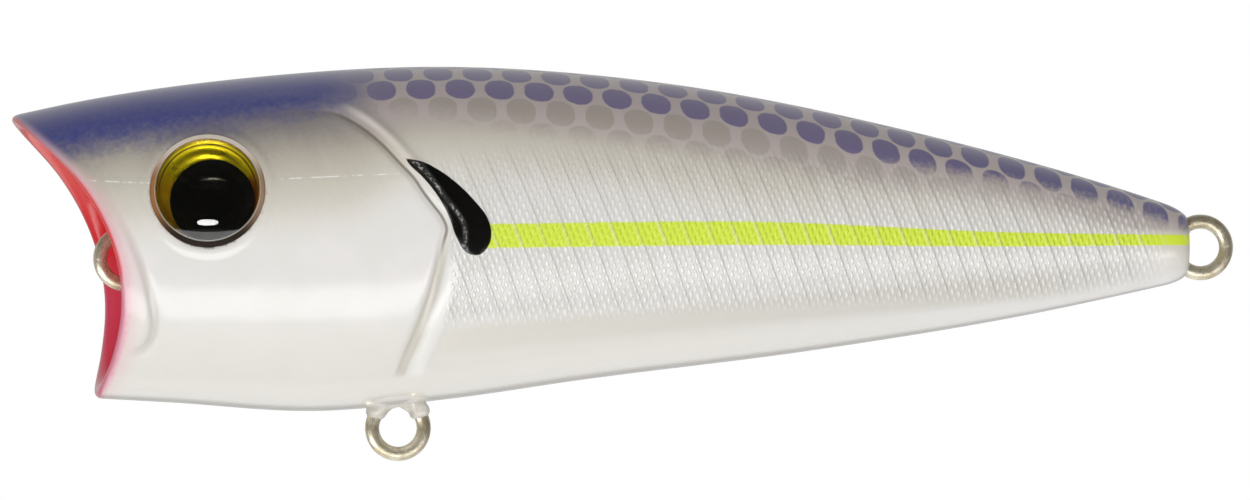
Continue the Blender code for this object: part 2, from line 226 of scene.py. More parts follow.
# Scale net: rows of cells along the back, every other row moved by half a pitch
SCALE_PITCH = 2.51
TAIL_PITCH = 2.43
SCALE_START = 45.8
SPINE_ROW = 2.6
SCALE_ROW = 1.93
CELL_HALF_LENGTH = 0.93
CELL_HALF_HEIGHT = 1.04
CELL_SQUARENESS = 2.3

# Weave: fine steep ridges, every fourth of them high, crossed by a second family of fine grooves
RIDGE_PITCH = 1.55
RIDGE_SLANT = math.radians(68)
CROSS_PITCH = 0.56
CROSS_SLANT = math.radians(57)


# ---------------------------------------------------------------- curves and the body's surface

def curve_through(points):
    """Return a function of arrays that gives the smooth curve through (position, value) points."""
    spots = np.array([point[0] for point in points])
    values = np.array([point[1] for point in points])
    widths = np.diff(spots)
    steps = np.diff(values) / widths
    inner = (steps[:-1] * widths[1:] + steps[1:] * widths[:-1]) / (widths[:-1] + widths[1:])
    slopes = np.concatenate((steps[:1], inner, steps[-1:]))

    def value_at(spot):
        spot = np.asarray(spot, float)
        i = np.clip(np.searchsorted(spots, spot) - 1, 0, len(widths) - 1)
        width = widths[i]
        t = (spot - spots[i]) / width
        inside = np.clip(t, 0.0, 1.0)
        over = (t - inside) * width
        start = values[i] * (1 + 2 * inside) * (1 - inside) ** 2
        start += slopes[i] * width * inside * (1 - inside) ** 2
        end = values[i + 1] * inside ** 2 * (3 - 2 * inside)
        end += slopes[i + 1] * width * inside ** 2 * (inside - 1)
        return start + end + over * np.where(t < 0, slopes[i], slopes[i + 1])

    return value_at


back_at = curve_through(BACK)
belly_at = curve_through(BELLY)
half_width_at = curve_through(HALF_WIDTH)
rim_at = curve_through(RIM)


def signed_power(value, power):
    return np.sign(value) * np.abs(value) ** power


def section_point(x, angle, inset=0.0):
    """The (y, z) of points on the upright section at x; the angle is 90 degrees on the back."""
    power = 2.0 / SECTION_EXPONENT
    top = back_at(x) - inset
    bottom = belly_at(x) + inset
    y = (half_width_at(x) - inset) * signed_power(np.cos(angle), power)
    z = (top + bottom) / 2 + (top - bottom) / 2 * signed_power(np.sin(angle), power)
    return y, z


def flare_at(behind_rim, side_share):
    """How far the lip turns outward beyond the plain body."""
    return FLARE * (1.0 - np.clip(behind_rim / FLARE_REACH, 0.0, 1.0)) ** 2 * side_share


def skin_point(station, angle, inset=0.0):
    """Points of the outer skin; near the mouth a station bends to the mouth's swept rim."""
    along = np.clip((station - MOUTH_X) / (SWEEP_END - MOUTH_X), 0.0, 1.0)
    fade = (1.0 - along) ** 2
    x = station + 0.0 * angle
    for _ in range(14):
        y, z = section_point(x, angle, inset)
        x = station + (rim_at(z) - MOUTH_X) * fade
    return np.stack((x, y + flare_at(station - MOUTH_X, np.cos(angle)), z), axis=-1)


def height_share(x, z):
    """Where z stands on the section at x: 1 on the back, -1 on the belly."""
    top = back_at(x)
    bottom = belly_at(x)
    return (z - (top + bottom) / 2) / ((top - bottom) / 2)


def skin_half_width(x, z):
    share = np.clip(np.abs(height_share(x, z)), 0.0, 1.0)
    return half_width_at(x) * (1.0 - share ** SECTION_EXPONENT) ** (1.0 / SECTION_EXPONENT)


def skin_normal(x, z, side):
    step = 0.05
    slope_x = (skin_half_width(x + step, z) - skin_half_width(x - step, z)) / (2 * step)
    slope_z = (skin_half_width(x, z + step) - skin_half_width(x, z - step)) / (2 * step)
    return Vector((-slope_x, side, -slope_z)).normalized()


def smooth_step(value, low, high):
    t = np.clip((value - low) / (high - low), 0.0, 1.0)
    return t * t * (3 - 2 * t)


def bell(value, width):
    return np.exp(-(value / width) ** 2)


# ---------------------------------------------------------------- distances to the marks

def smooth_path(points, steps=6):
    """A dense polyline through (x, z) points, with the points spaced by their distance."""
    points = np.array(points, float)
    gaps = np.hypot(*np.diff(points, axis=0).T)
    along = np.concatenate(([0.0], np.cumsum(gaps)))
    spots = np.linspace(0.0, along[-1], steps * (len(points) - 1) + 1)
    x = curve_through(list(zip(along, points[:, 0])))(spots)
    z = curve_through(list(zip(along, points[:, 1])))(spots)
    return np.stack((x, z), axis=-1)


def path_distance(x, z, path):
    """Distance from each (x, z) to a polyline, its side (1 on the path's left), and the place along it."""
    best = np.full(x.shape, 1e9)
    side = np.ones(x.shape)
    place = np.zeros(x.shape)
    count = len(path) - 1
    for i in range(count):
        ax, az = path[i]
        dx, dz = path[i + 1] - path[i]
        t = np.clip(((x - ax) * dx + (z - az) * dz) / (dx * dx + dz * dz), 0.0, 1.0)
        off_x = x - ax - t * dx
        off_z = z - az - t * dz
        distance = np.hypot(off_x, off_z)
        nearer = distance < best
        best = np.where(nearer, distance, best)
        side = np.where(nearer, np.sign(dx * off_z - dz * off_x), side)
        place = np.where(nearer, (i + t) / count, place)
    return best, side, place


def inside_outline(x, z, path):
    inside = np.zeros(x.shape, bool)
    for (ax, az), (bx, bz) in zip(path, np.roll(path, -1, axis=0)):
        if az == bz:
            continue
        crosses = (az > z) != (bz > z)
        inside ^= crosses & (x < ax + (z - az) * (bx - ax) / (bz - az))
    return inside


GILL_PATH = smooth_path(GILL)
CREASE_PATH = smooth_path(LIP_CREASE)
COMMA_PATH = smooth_path(COMMA + COMMA[:1], 3)
COMMA_RIDGE_PATH = smooth_path(COMMA_RIDGE)

# The raised cheek's reach in front of the gill line, and how far from a path its distance is still worked out
CHEEK_REACH = 5.0
GILL_MARGIN = 8.0
COMMA_MARGIN = 3.0
CREASE_MARGIN = 3.0
RIDGE_MARGIN = 2.0


def near_only(x, z, path, margin, measure):
    """Run a measure only for points within margin of a path's box; the rest count as far away."""
    low = path.min(axis=0) - margin
    high = path.max(axis=0) + margin
    near = (x > low[0]) & (x < high[0]) & (z > low[1]) & (z < high[1])
    results = [np.full(x.shape, margin), np.ones(x.shape), np.zeros(x.shape)]
    for result, found in zip(results, measure(x[near], z[near], path)):
        result[near] = found
    return results


def comma_distance(x, z):
    """Signed distance to the black mark's edge, negative inside it."""
    distance, _, _ = near_only(x, z, COMMA_PATH, COMMA_MARGIN, path_distance)
    return np.where(inside_outline(x, z, COMMA_PATH), -distance, distance)


def weave_strength(x, z):
    """How strong the weave stands: full behind the gill line and between its upper and lower borders."""
    distance, side, _ = near_only(x, z, GILL_PATH, GILL_MARGIN, path_distance)
    behind = np.where(x > 20.0, 1.0, smooth_step(distance * side, 0.9, 1.5))
    upper = 1.0 - smooth_step(z, curve_through(WEAVE_TOP)(x) - 1.2, curve_through(WEAVE_TOP)(x) + 1.6)
    lower = smooth_step(z, curve_through(WEAVE_BOTTOM)(x) - 0.5, curve_through(WEAVE_BOTTOM)(x) + 0.9)
    tail = 1.0 - smooth_step(x, 63.5, 67.0)
    return behind * upper * lower * tail * (x > 15.5)


# ---------------------------------------------------------------- relief of the skin

def relief(x, z):
    """How far the painted skin stands out from the plain body at (x, z)."""
    height = np.zeros(x.shape)
    distance, side, place = near_only(x, z, GILL_PATH, CHEEK_REACH, path_distance)
    rearward = distance * side
    strength = 0.25 * smooth_step(place, 0.06, 0.2) + 0.75 * smooth_step(place, 0.27, 0.36)
    strength *= 1.0 - smooth_step(place, 0.93, 1.0)
    low_part = smooth_step(place, 0.64, 0.76)
    groove = 0.18 * bell(rearward, 0.19) * (1 - low_part) + 0.24 * bell(rearward, 0.38) * low_part
    ridge = (0.20 - 0.06 * low_part) * bell(rearward - 0.66 - 0.22 * low_part, 0.40 + 0.12 * low_part)
    cheek = 0.12 * smooth_step(-rearward, -0.1, 0.5) * (1.0 - smooth_step(-rearward, 0.5, CHEEK_REACH))
    height += strength * (cheek + ridge - groove)

    distance, side, place = near_only(x, z, CREASE_PATH, CREASE_MARGIN, path_distance)
    strength = smooth_step(place, 0.0, 0.3) * (1.0 - smooth_step(place, 0.85, 1.0))
    height += strength * (0.16 * bell(distance * side + 0.85, 0.6) - 0.20 * bell(distance, 0.28))

    distance, _, place = near_only(x, z, COMMA_RIDGE_PATH, RIDGE_MARGIN, path_distance)
    strength = smooth_step(place, 0.0, 0.15)
    inside = smooth_step(-comma_distance(x, z), 0.0, 0.12)
    height += inside * (0.04 + strength * 0.13 * bell(distance, 0.17))

    eye_y = skin_half_width(EYE_X, EYE_Z)
    outward = skin_normal(EYE_X, EYE_Z, 1)
    near_y = skin_half_width(x, z)
    offset = np.stack((x - EYE_X, near_y - eye_y, z - EYE_Z), axis=-1)
    depth = offset @ np.array(outward)
    radial = np.sqrt(np.maximum((offset ** 2).sum(axis=-1) - depth ** 2, 0.0))
    height += 0.14 * bell(radial - 3.95, 0.30)

    height += 0.035 * ridge_wave(x, z) * weave_strength(x, z) * (1 - inside)
    height += 0.02 * bell(z - 4.94, 0.06) * (1 - smooth_step(x, 18.0, 19.0)) * (radial > 4.1)
    return height


def ridge_wave(x, z):
    """Height of the high woven ridges, 0 to 1."""
    phase = (x + z / math.tan(RIDGE_SLANT)) / RIDGE_PITCH
    return (0.5 + 0.5 * np.cos(2 * math.pi * phase)) ** 4


# ---------------------------------------------------------------- meshes

def add_object(name, data):
    thing = bpy.data.objects.new(name, data)
    bpy.context.scene.collection.objects.link(thing)
    return thing


def mesh_from_lists(name, points, faces, sharp=40):
    mesh = bpy.data.meshes.new(name)
    mesh.from_pydata([tuple(point) for point in np.asarray(points) * MM], [], faces)
    mesh.validate()
    bm = bmesh.new()
    bm.from_mesh(mesh)
    bmesh.ops.recalc_face_normals(bm, faces=bm.faces)
    bm.to_mesh(mesh)
    bm.free()
    mesh.shade_smooth()
    mesh.set_sharp_from_angle(angle=math.radians(sharp))
    return add_object(name, mesh)


def grid_faces(rows, columns, wrap=False):
    """Quads of a grid of points, row by row; wrap joins the last column to the first."""
    faces = []
    last = columns if wrap else columns - 1
    for i in range(rows - 1):
        for j in range(last):
            k = (j + 1) % columns
            faces.append((i * columns + j, i * columns + k, (i + 1) * columns + k, (i + 1) * columns + j))
    return faces


def stretch(spans):
    """Spots along a line from (end, spacing) pairs; the first pair gives the start."""
    spots = [spans[0][0]]
    for end, spacing in spans[1:]:
        count = max(1, round(abs(end - spots[-1]) / spacing))
        spots += list(np.linspace(spots[-1], end, count + 1)[1:])
    return np.array(spots)


QUICK = 2.2 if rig.quick() else 1.0


def cup_rings(angles):
    """The scoop of the mouth, from the middle of its floor out to the inner edge of the lip."""
    power = 2.0 / CUP_SQUARENESS
    edge = skin_point(MOUTH_X + LIP_THICKNESS / 2, angles, LIP_THICKNESS)
    rings = []
    for degrees in np.linspace(88.0, 3.0, round(26 / QUICK)):
        inward = math.cos(math.radians(degrees)) ** power
        deep = math.sin(math.radians(degrees)) ** power
        x = edge[:, 0] + (CUP_FLOOR_X - edge[:, 0]) * deep
        rings.append(np.stack((x, edge[:, 1] * inward, edge[:, 2] * inward), axis=-1))
    return rings


def lip_rings(angles):
    """The half-round edge of the mouth, from the inside to the outside."""
    radius = LIP_THICKNESS / 2
    rings = []
    for turn in np.linspace(math.pi, 0.0, round(13 / QUICK)):
        station = MOUTH_X + radius * (1 - math.sin(turn))
        rings.append(skin_point(station, angles, radius * (1 - math.cos(turn))))
    return rings


def outer_rings(angles):
    """The outer skin behind the lip with its relief."""
    start = MOUTH_X + LIP_THICKNESS / 2
    end = TAIL_X - TAIL_ROUND
    spans = ((start, 1), (12.0, 0.2), (23.0, 0.115), (62.0, 0.125), (end, 0.2))
    stations = stretch([(spot, spacing * QUICK) for spot, spacing in spans])[1:]
    grid = np.array([skin_point(station, angles) for station in stations])
    along = np.gradient(grid, axis=0)
    across = np.gradient(grid, axis=1)
    normals = np.cross(along, across)
    normals /= np.linalg.norm(normals, axis=-1, keepdims=True)
    normals *= np.sign(normals[..., 1:2] + 1e-9)
    normals[:, 0] = (0.0, 0.0, 1.0)
    normals[:, -1] = (0.0, 0.0, -1.0)
    fade = smooth_step(np.arange(len(stations)), 0, 6)[:, None]
    height = relief(grid[..., 0].ravel(), grid[..., 2].ravel()).reshape(grid.shape[:2])
    return list(grid + normals * (height * fade)[..., None])


def tail_rings(angles):
    rings = []
    for turn in np.linspace(0.0, math.pi / 2, 11)[1:]:
        station = TAIL_X - TAIL_ROUND * (1 - math.sin(turn))
        rings.append(skin_point(station, angles, TAIL_EDGE * (1 - math.cos(turn))))
    return rings


def half_body(name, side):
    """One half of the body as a closed solid: its skin, its mouth and the flat face on the seam."""
    spans = ((90.0, 1), (62.0, 1.9), (36.0, 1.15), (-42.0, 0.95), (-90.0, 1.9))
    angles = np.radians(stretch([(spot, spacing * QUICK) for spot, spacing in spans]))
    rings = cup_rings(angles) + lip_rings(angles) + outer_rings(angles) + tail_rings(angles)
    grid = np.array(rings)
    grid[..., 1] = side * np.maximum(grid[..., 1], SEAM)
    grid[:, 0, 1] = side * SEAM
    grid[:, -1, 1] = side * SEAM
    rows, columns = grid.shape[:2]
    faces = grid_faces(rows, columns)
    faces.append(tuple(range(columns)))
    faces.append(tuple((rows - 1) * columns + j for j in range(columns)))
    top = [i * columns for i in range(rows)]
    bottom = [i * columns + columns - 1 for i in range(rows)]
    faces.append(tuple(top + bottom[::-1]))
    return mesh_from_lists(name, grid.reshape(-1, 3), faces)


# ---------------------------------------------------------------- the inside of the shells

def boolean(thing, operation, operand):
    modifier = thing.modifiers.new(operation, "BOOLEAN")
    modifier.operation = operation
    modifier.solver = "EXACT"
    modifier.material_mode = "TRANSFER"
    if isinstance(operand, bpy.types.Collection):
        modifier.operand_type = "COLLECTION"
        modifier.collection = operand
    else:
        modifier.object = operand


def bake_modifiers(thing):
    graph = bpy.context.evaluated_depsgraph_get()
    mesh = bpy.data.meshes.new_from_object(thing.evaluated_get(graph))
    thing.modifiers.clear()
    old = thing.data
    thing.data = mesh
    bpy.data.meshes.remove(old)


def cylinder(name, radius, low, high, segments, collection):
    """A cylinder along Z from low to high."""
    bm = bmesh.new()
    middle = Matrix.Translation((0.0, 0.0, (low + high) / 2))
    bmesh.ops.create_cone(bm, cap_ends=True, segments=segments, radius1=radius, radius2=radius,
                          depth=high - low, matrix=middle)
    bmesh.ops.scale(bm, vec=(MM, MM, MM), verts=bm.verts)
    mesh = bpy.data.meshes.new(name)
    bm.to_mesh(mesh)
    bm.free()
    thing = bpy.data.objects.new(name, mesh)
    collection.objects.link(thing)
    return thing


def cross_cylinder(name, centre, radius, low, high, collection):
    thing = cylinder(name, radius, low, high, 48, collection)
    thing.rotation_euler = (math.radians(-90), 0.0, 0.0)
    thing.location = (centre[0] * MM, 0.0, centre[1] * MM)
    return thing


def inner_core(name):
    """A plain solid that stays well inside the outer skin, from behind the mouth to the tail's end."""
    angles = np.radians(np.arange(0.0, 360.0, 6.0))
    rings = []
    for x in np.linspace(3.0, TAIL_X - 1.5, 30):
        y, z = section_point(x, angles, 0.72)
        rings.append(np.stack((np.full(angles.shape, x), y, z), axis=-1))
    faces = grid_faces(len(rings), len(angles), wrap=True)
    faces.append(tuple(range(len(angles))))
    faces.append(tuple((len(rings) - 1) * len(angles) + j for j in range(len(angles))))
    return mesh_from_lists(name, np.concatenate(rings), faces)


def hollow_of(node, cuts):
    """The room inside a CAD shell: the core less the shell itself."""
    core = inner_core(node + "_hollow")
    shell = frame["nodes"][node].copy()
    shell.data = frame["nodes"][node].data.copy()
    shell.parent = None
    for key in list(shell.keys()):
        del shell[key]
    cuts["scratch"].objects.link(shell)
    boolean(core, "DIFFERENCE", shell)
    bpy.context.view_layer.update()
    bake_modifiers(core)
    bpy.context.scene.collection.objects.unlink(core)
    bpy.data.objects.remove(shell)
    return core


def scratch_collection(name):
    collection = bpy.data.collections.new(name)
    bpy.context.scene.collection.children.link(collection)
    return collection


def clear_collection(collection):
    for thing in list(collection.objects):
        bpy.data.objects.remove(thing, do_unlink=True)
    bpy.data.collections.remove(collection)


def add_slots(collection):
    """The slots in the skin that the three wire forms come out of."""
    for name, centre, _, _ in WIRES:
        cross_cylinder(name + "_slot", centre, RING_RADIUS + SLOT_HALF, -SLOT_HALF, SLOT_HALF, collection)


def eye_place(side):
    centre = Vector((EYE_X, side * float(skin_half_width(EYE_X, EYE_Z)), EYE_Z))
    return centre, skin_normal(EYE_X, EYE_Z, side)


def set_in_eye(thing, side, offset=(0.0, 0.0)):
    """Put a piece drawn about Z onto the eye's axis, moved aside by (rearward, upward)."""
    centre, outward = eye_place(side)
    rearward = Vector((1.0, 0.0, 0.0))
    rearward = (rearward - outward * rearward.dot(outward)).normalized()
    upward = Vector((0.0, 0.0, 1.0))
    upward = (upward - outward * upward.dot(outward)).normalized()
    centre = centre + rearward * offset[0] + upward * offset[1]
    thing.rotation_mode = "QUATERNION"
    thing.rotation_quaternion = outward.to_track_quat("Z", "Y")
    thing.location = centre * MM


def apply_place(thing):
    """Write an object's place into its mesh, so that the mesh is drawn in the shared frame."""
    bpy.context.view_layer.update()
    thing.data.transform(thing.matrix_world)
    thing.matrix_world = Matrix.Identity(4)


# ---------------------------------------------------------------- what the paint reads

def arc_table():
    """Length along the section from the spine, for a grid of x and angle."""
    x = np.linspace(-9.0, 68.5, 156)
    angles = np.radians(np.linspace(90.0, -90.0, 181))
    y, z = section_point(x[:, None], angles[None, :])
    gaps = np.hypot(np.diff(y, axis=1), np.diff(z, axis=1))
    return x, np.concatenate((np.zeros((len(x), 1)), np.cumsum(gaps, axis=1)), axis=1)


def arc_from_spine(x, z):
    table_x, table = arc_table()
    share = np.clip(height_share(x, z), -1.0, 1.0)
    degrees = np.degrees(np.arcsin(signed_power(share, SECTION_EXPONENT / 2)))
    row = np.clip((x - table_x[0]) / (table_x[1] - table_x[0]), 0, len(table_x) - 1.001)
    column = np.clip(90.0 - degrees, 0, 179.999)
    i = row.astype(int)
    j = column.astype(int)
    u = row - i
    v = column - j
    upper = table[i, j] * (1 - v) + table[i, j + 1] * v
    lower = table[i + 1, j] * (1 - v) + table[i + 1, j + 1] * v
    return upper * (1 - u) + lower * u


def cells_along_back(x):
    """How many cells of the scale net lie between SCALE_START and x."""
    spots = np.linspace(-9.0, 69.0, 400)
    gaps = np.hypot(np.diff(spots), np.diff(back_at(spots)))
    lengths = np.concatenate(([0.0], np.cumsum(gaps)))
    length = np.interp(x, spots, lengths) - np.interp(SCALE_START, spots, lengths)
    return length / np.where(length < 0, SCALE_PITCH, TAIL_PITCH)


def set_attribute(mesh, name, columns):
    data = np.stack([np.broadcast_to(column, columns[0].shape) for column in columns], axis=-1)
    attribute = mesh.attributes.new(name, "FLOAT_VECTOR", "POINT")
    attribute.data.foreach_set("vector", data.astype(np.float32).ravel())


def write_paint_attributes(thing):
    """Vectors for the paint: the place in the scale net, distances to marks and lines, and zones."""
    mesh = thing.data
    co = np.zeros(len(mesh.vertices) * 3, np.float32)
    mesh.vertices.foreach_get("co", co)
    x, y, z = co.reshape(-1, 3).T / MM
    arc = arc_from_spine(x, z)
    violet_edge = curve_through(VIOLET_REACH)(x)
    set_attribute(mesh, "net", (cells_along_back(x), arc, arc - violet_edge))
    top = curve_through(STRIPE_TOP)(x)
    bottom = curve_through(STRIPE_BOTTOM)(x)
    stripe = (z - (top + bottom) / 2) / ((top - bottom) / 2)
    distance, side, _ = near_only(x, z, GILL_PATH, GILL_MARGIN, path_distance)
    set_attribute(mesh, "marks", (comma_distance(x, z), stripe, distance * side))
    behind_rim = x - rim_at(z)
    side_share = np.sqrt(1.0 - np.clip(np.abs(height_share(x, z)), 0.0, 1.0) ** 2)
    inside = skin_half_width(x, z) + flare_at(behind_rim, side_share) - np.abs(y)
    red_edge = RED_OVERLAP * smooth_step(z, -2.5, -0.5) * (1.0 - smooth_step(z, 4.5, 6.5))
    behind_red = behind_rim - red_edge
    inner = np.maximum(smooth_step(inside, 0.22, 0.5), 1.0 - smooth_step(behind_red, -0.05, 0.1)) * (x < 4.0)
    set_attribute(mesh, "zones", (behind_red, inner, weave_strength(x, z)))
    ridge, _, _ = near_only(x, z, COMMA_RIDGE_PATH, RIDGE_MARGIN, path_distance)
    crease, _, crease_place = near_only(x, z, CREASE_PATH, CREASE_MARGIN, path_distance)
    crease_strength = smooth_step(crease_place, 0.1, 0.6) * (1.0 - smooth_step(crease_place, 0.85, 1.0))
    set_attribute(mesh, "lines", (ridge, crease, crease_strength))


# ---------------------------------------------------------------- material helpers

def linear(red, green, blue):
    """A colour given as 0 to 255 display values, as linear light."""
    channels = []
    for value in (red, green, blue):
        share = value / 255
        channels.append(share / 12.92 if share <= 0.04045 else ((share + 0.055) / 1.055) ** 2.4)
    return (*channels, 1.0)


class Flow:
    """A value that a node puts out; sums with it add the nodes that work them out."""

    def __init__(self, shade, socket):
        self.shade = shade
        self.socket = socket

    def __add__(self, other):
        return self.shade.math("ADD", self, other)

    def __sub__(self, other):
        return self.shade.math("SUBTRACT", self, other)

    def __rsub__(self, other):
        return self.shade.math("SUBTRACT", other, self)

    def __mul__(self, other):
        return self.shade.math("MULTIPLY", self, other)

    def __truediv__(self, other):
        return self.shade.math("DIVIDE", self, other)

    def __pow__(self, other):
        return self.shade.math("POWER", self, other)

    def __abs__(self):
        return self.shade.math("ABSOLUTE", self)

    def __round__(self):
        return self.shade.math("ROUND", self)


class Shade:
    """One material under construction, with short calls that add its nodes."""

    def __init__(self, name):
        self.material = bpy.data.materials.new(name)
        self.material.use_nodes = True
        self.tree = self.material.node_tree
        self.shader = self.tree.nodes["Principled BSDF"]

    def feed(self, socket, value):
        if isinstance(value, Flow):
            self.tree.links.new(value.socket, socket)
        else:
            socket.default_value = value

    def set(self, **values):
        """Set the shader's sockets: a name's underscores stand for spaces."""
        for name, value in values.items():
            self.feed(self.shader.inputs[name.replace("_", " ")], value)

    def node(self, kind, inputs=(), **settings):
        """Add a node with its settings, and feed its inputs from (name or number, value) pairs."""
        node = self.tree.nodes.new("ShaderNode" + kind)
        for name, value in settings.items():
            setattr(node, name, value)
        for key, value in inputs:
            self.feed(node.inputs[key], value)
        return node

    def out(self, key, *call, **settings):
        """Add a node and return what it puts out at key."""
        return Flow(self, self.node(*call, **settings).outputs[key])

    def math(self, operation, *values):
        return self.out(0, "Math", enumerate(values), operation=operation)

    def step(self, value, low, high, start=0.0, end=1.0):
        """Smooth change from start to end as value goes from low to high."""
        names = ("Value", "From Min", "From Max", "To Min", "To Max")
        inputs = zip(names, (value, low, high, start, end))
        return self.out("Result", "MapRange", inputs, interpolation_type="SMOOTHSTEP")

    def band(self, value, low, high, soft):
        """1 between low and high, with soft edges."""
        rising = self.step(value, low - soft, low + soft)
        return rising * self.step(value, high - soft, high + soft, 1.0, 0.0)

    def mix(self, factor, first, second):
        inputs = (("Factor", factor), (6, first), (7, second))
        return self.out(2, "Mix", inputs, data_type="RGBA")

    def scaled(self, vector, scale):
        return self.out("Vector", "Mapping", (("Vector", vector), ("Scale", scale)))

    def place(self):
        """The piece's own coordinates in millimetres."""
        return self.scaled(self.out("Object", "TexCoord"), [1.0 / MM] * 3)

    def noise(self, vector, scale, detail=3.0, roughness=0.5):
        names = ("Vector", "Scale", "Detail", "Roughness")
        return self.out("Fac", "TexNoise", zip(names, (vector, scale, detail, roughness)))

    def split(self, vector):
        parts = self.node("SeparateXYZ", ((0, vector),))
        return [Flow(self, part) for part in parts.outputs]

    def attribute(self, name):
        return self.split(self.out("Vector", "Attribute", attribute_name=name))

    def ramp(self, value, stops):
        """A colour ramp through (place, colour) stops."""
        node = self.node("ValToRGB", ((0, value),))
        elements = node.color_ramp.elements
        while len(elements) < len(stops):
            elements.new(0.5)
        for element, (place, colour) in zip(elements, stops):
            element.position = place
            element.color = colour
        return Flow(self, node.outputs["Color"])

    def bump(self, height, distance):
        inputs = (("Strength", 1.0), ("Distance", distance * MM), ("Height", height))
        return self.out("Normal", "Bump", inputs)


# ---------------------------------------------------------------- the body's paint

GREY_STOPS = (
    (4.0, linear(128, 122, 126)), (6.0, linear(146, 140, 136)), (7.2, linear(172, 165, 154)),
    (8.4, linear(192, 185, 172)), (10.0, linear(208, 202, 189)), (12.0, linear(222, 217, 207)),
    (14.5, linear(231, 228, 224)),
)
GREY_SPAN = 16.0
VIOLET = linear(76, 80, 142)
CELL_VIOLET = linear(122, 113, 148)
NET_GREY = linear(194, 182, 180)
CELL_BROWN = linear(168, 158, 149)
CHARTREUSE = linear(216, 236, 70)
# Painted highlight on the high ridges that cross the stripe
STRIPE_RIDGE_HIGHLIGHT = linear(226, 236, 150)
BLACK = linear(12, 11, 10)
RED_TOP = linear(236, 84, 78)
RED_DEEP = linear(242, 26, 34)
RED_LOW = linear(246, 82, 114)
OVERSPRAY = linear(236, 196, 198)
GOLD = linear(196, 160, 36)


class BodyPaint(Shade):
    """The body's material, with the places, distances and grains that its coats of paint share."""

    def __init__(self):
        super().__init__("body_paint")
        self.spot = self.place()
        self.x, self.y, self.z = self.split(self.spot)
        self.along, self.arc, self.past_violet = self.attribute("net")
        self.comma, self.stripe, self.gill = self.attribute("marks")
        self.behind_rim, self.inner, self.weave = self.attribute("zones")
        self.ridge_line, self.crease_line, self.crease_strength = self.attribute("lines")
        self.speck = self.noise(self.spot, 3.2, 4.0, 0.65)
        self.steep = self.x + self.z / math.tan(RIDGE_SLANT)
        drawn = enumerate((self.steep * 2.2, self.z * 0.25, self.y * 0.25))
        self.streak = self.noise(self.out(0, "CombineXYZ", drawn), 1.0, 3.0, 0.6)
        self.violet_edge = self.past_violet + (self.speck - 0.5) * 1.5
        self.black = self.step(self.comma, -0.03, 0.03, 1.0, 0.0)
        self.foil, self.ridge_top, self.stitch = weave_height(self)


def pearl_under_mask(s):
    """Pearl white under a grey-brown mask that fades down the side."""
    head = s.step(s.x, 12.0, 20.0, 1.0, 0.0)
    pull = s.step(s.x, 36.0, 64.0, 0.0, 6.2) + s.step(s.x, 6.0, -1.0, 0.0, 1.5)
    grain = (s.speck - 0.5) * 0.9 + (s.streak - 0.5) * s.step(s.weave, 0.0, 1.0, 0.6, 2.2)
    mask = s.arc + s.step(head, 0.0, 1.0, 1.1, -1.3) + pull + grain
    colour = s.ramp(mask / GREY_SPAN, [(depth / GREY_SPAN, tone) for depth, tone in GREY_STOPS])
    soft = s.noise(s.spot, 0.35, 2.0)
    pearl = s.mix(s.step(soft, 0.3, 0.7), linear(233, 230, 227), linear(229, 227, 222))
    return s.mix(s.step(mask, 11.0, 14.5), colour, pearl)


def shade_band_and_warm_belly(s, colour):
    """A band of painted shade below the weave, and a warmer belly."""
    below = s.z + 5.9 - (s.x - 22.0) * 0.092
    # Painted shade: a darker band just below the weave.
    band_shade = s.band(below, 0.05, 1.7, 0.4) * (s.step(s.x, 17.5, 21.0) * s.step(s.x, 66.0, 56.0))
    colour = s.mix(band_shade * 0.8, colour, linear(213, 209, 200))
    return s.mix(s.step(s.z, -3.0, -6.0, 0.0, 0.6), colour, linear(231, 227, 217))


def scale_cells(s, wobble, parity):
    """Every second row of the scale net: 1 inside its cells, and the number of the nearest such row."""
    beyond = (s.arc - SPINE_ROW) / SCALE_ROW + 1.0
    rows = s.math("MAXIMUM", s.math("MINIMUM", s.arc / SPINE_ROW, 1.0), beyond)
    row = round((rows - parity) / 2.0) * 2.0 + parity
    across = (rows - row) * SCALE_ROW
    turns = s.along + 0.5 * parity
    offset = turns - round(turns)
    first = (abs(offset) / (CELL_HALF_LENGTH / SCALE_PITCH)) ** CELL_SQUARENESS
    second = (abs(across) / CELL_HALF_HEIGHT) ** CELL_SQUARENESS
    return s.step(first + second + wobble, 0.86, 1.14, 1.0, 0.0), row


def scale_net(s, colour):
    """Grey lines between brown cells, and violet cells in the rows next to the spine."""
    wobble = (s.noise(s.spot, 1.3, 2.0) - 0.5) * 0.45
    even, even_row = scale_cells(s, wobble, 0.0)
    odd, odd_row = scale_cells(s, wobble, 1.0)
    even_violet = even * s.step(even_row, 2.4, 2.6, 1.0, 0.0)
    odd_violet = odd * s.step(odd_row, 2.4, 2.6, 1.0, 0.0)
    zone = s.step(s.x, 11.0, 17.0) * s.step(s.stripe, 1.2, 2.4)
    colour = s.mix(zone * s.step(s.past_violet, 1.2, 3.2, 0.85, 0.0), colour, NET_GREY)
    reach = s.step(s.x, 40.0, 62.0, 3.0, 2.2) - s.step(s.x, 12.0, 26.0, 1.6, 0.0)
    past_brown = s.past_violet - reach + (s.speck - 0.5) * 1.6
    brown = s.step(past_brown, -2.2, 0.2, 1.0, 0.0) * s.step(s.x, 30.0, 48.0, 0.8, 0.6)
    colour = s.mix(brown * (zone * s.math("MAXIMUM", even, odd)), colour, CELL_BROWN)
    violet = zone * s.step(s.violet_edge, -0.1, 1.2, 1.0, 0.0) * s.math("MAXIMUM", even_violet, odd_violet)
    tone = s.mix(s.step(s.x, 44.0, 62.0), CELL_VIOLET, linear(108, 104, 146))
    tone = s.mix(s.step(s.speck, 0.35, 0.75, 0.0, 0.4), tone, linear(132, 122, 142))
    return s.mix(violet, colour, tone)


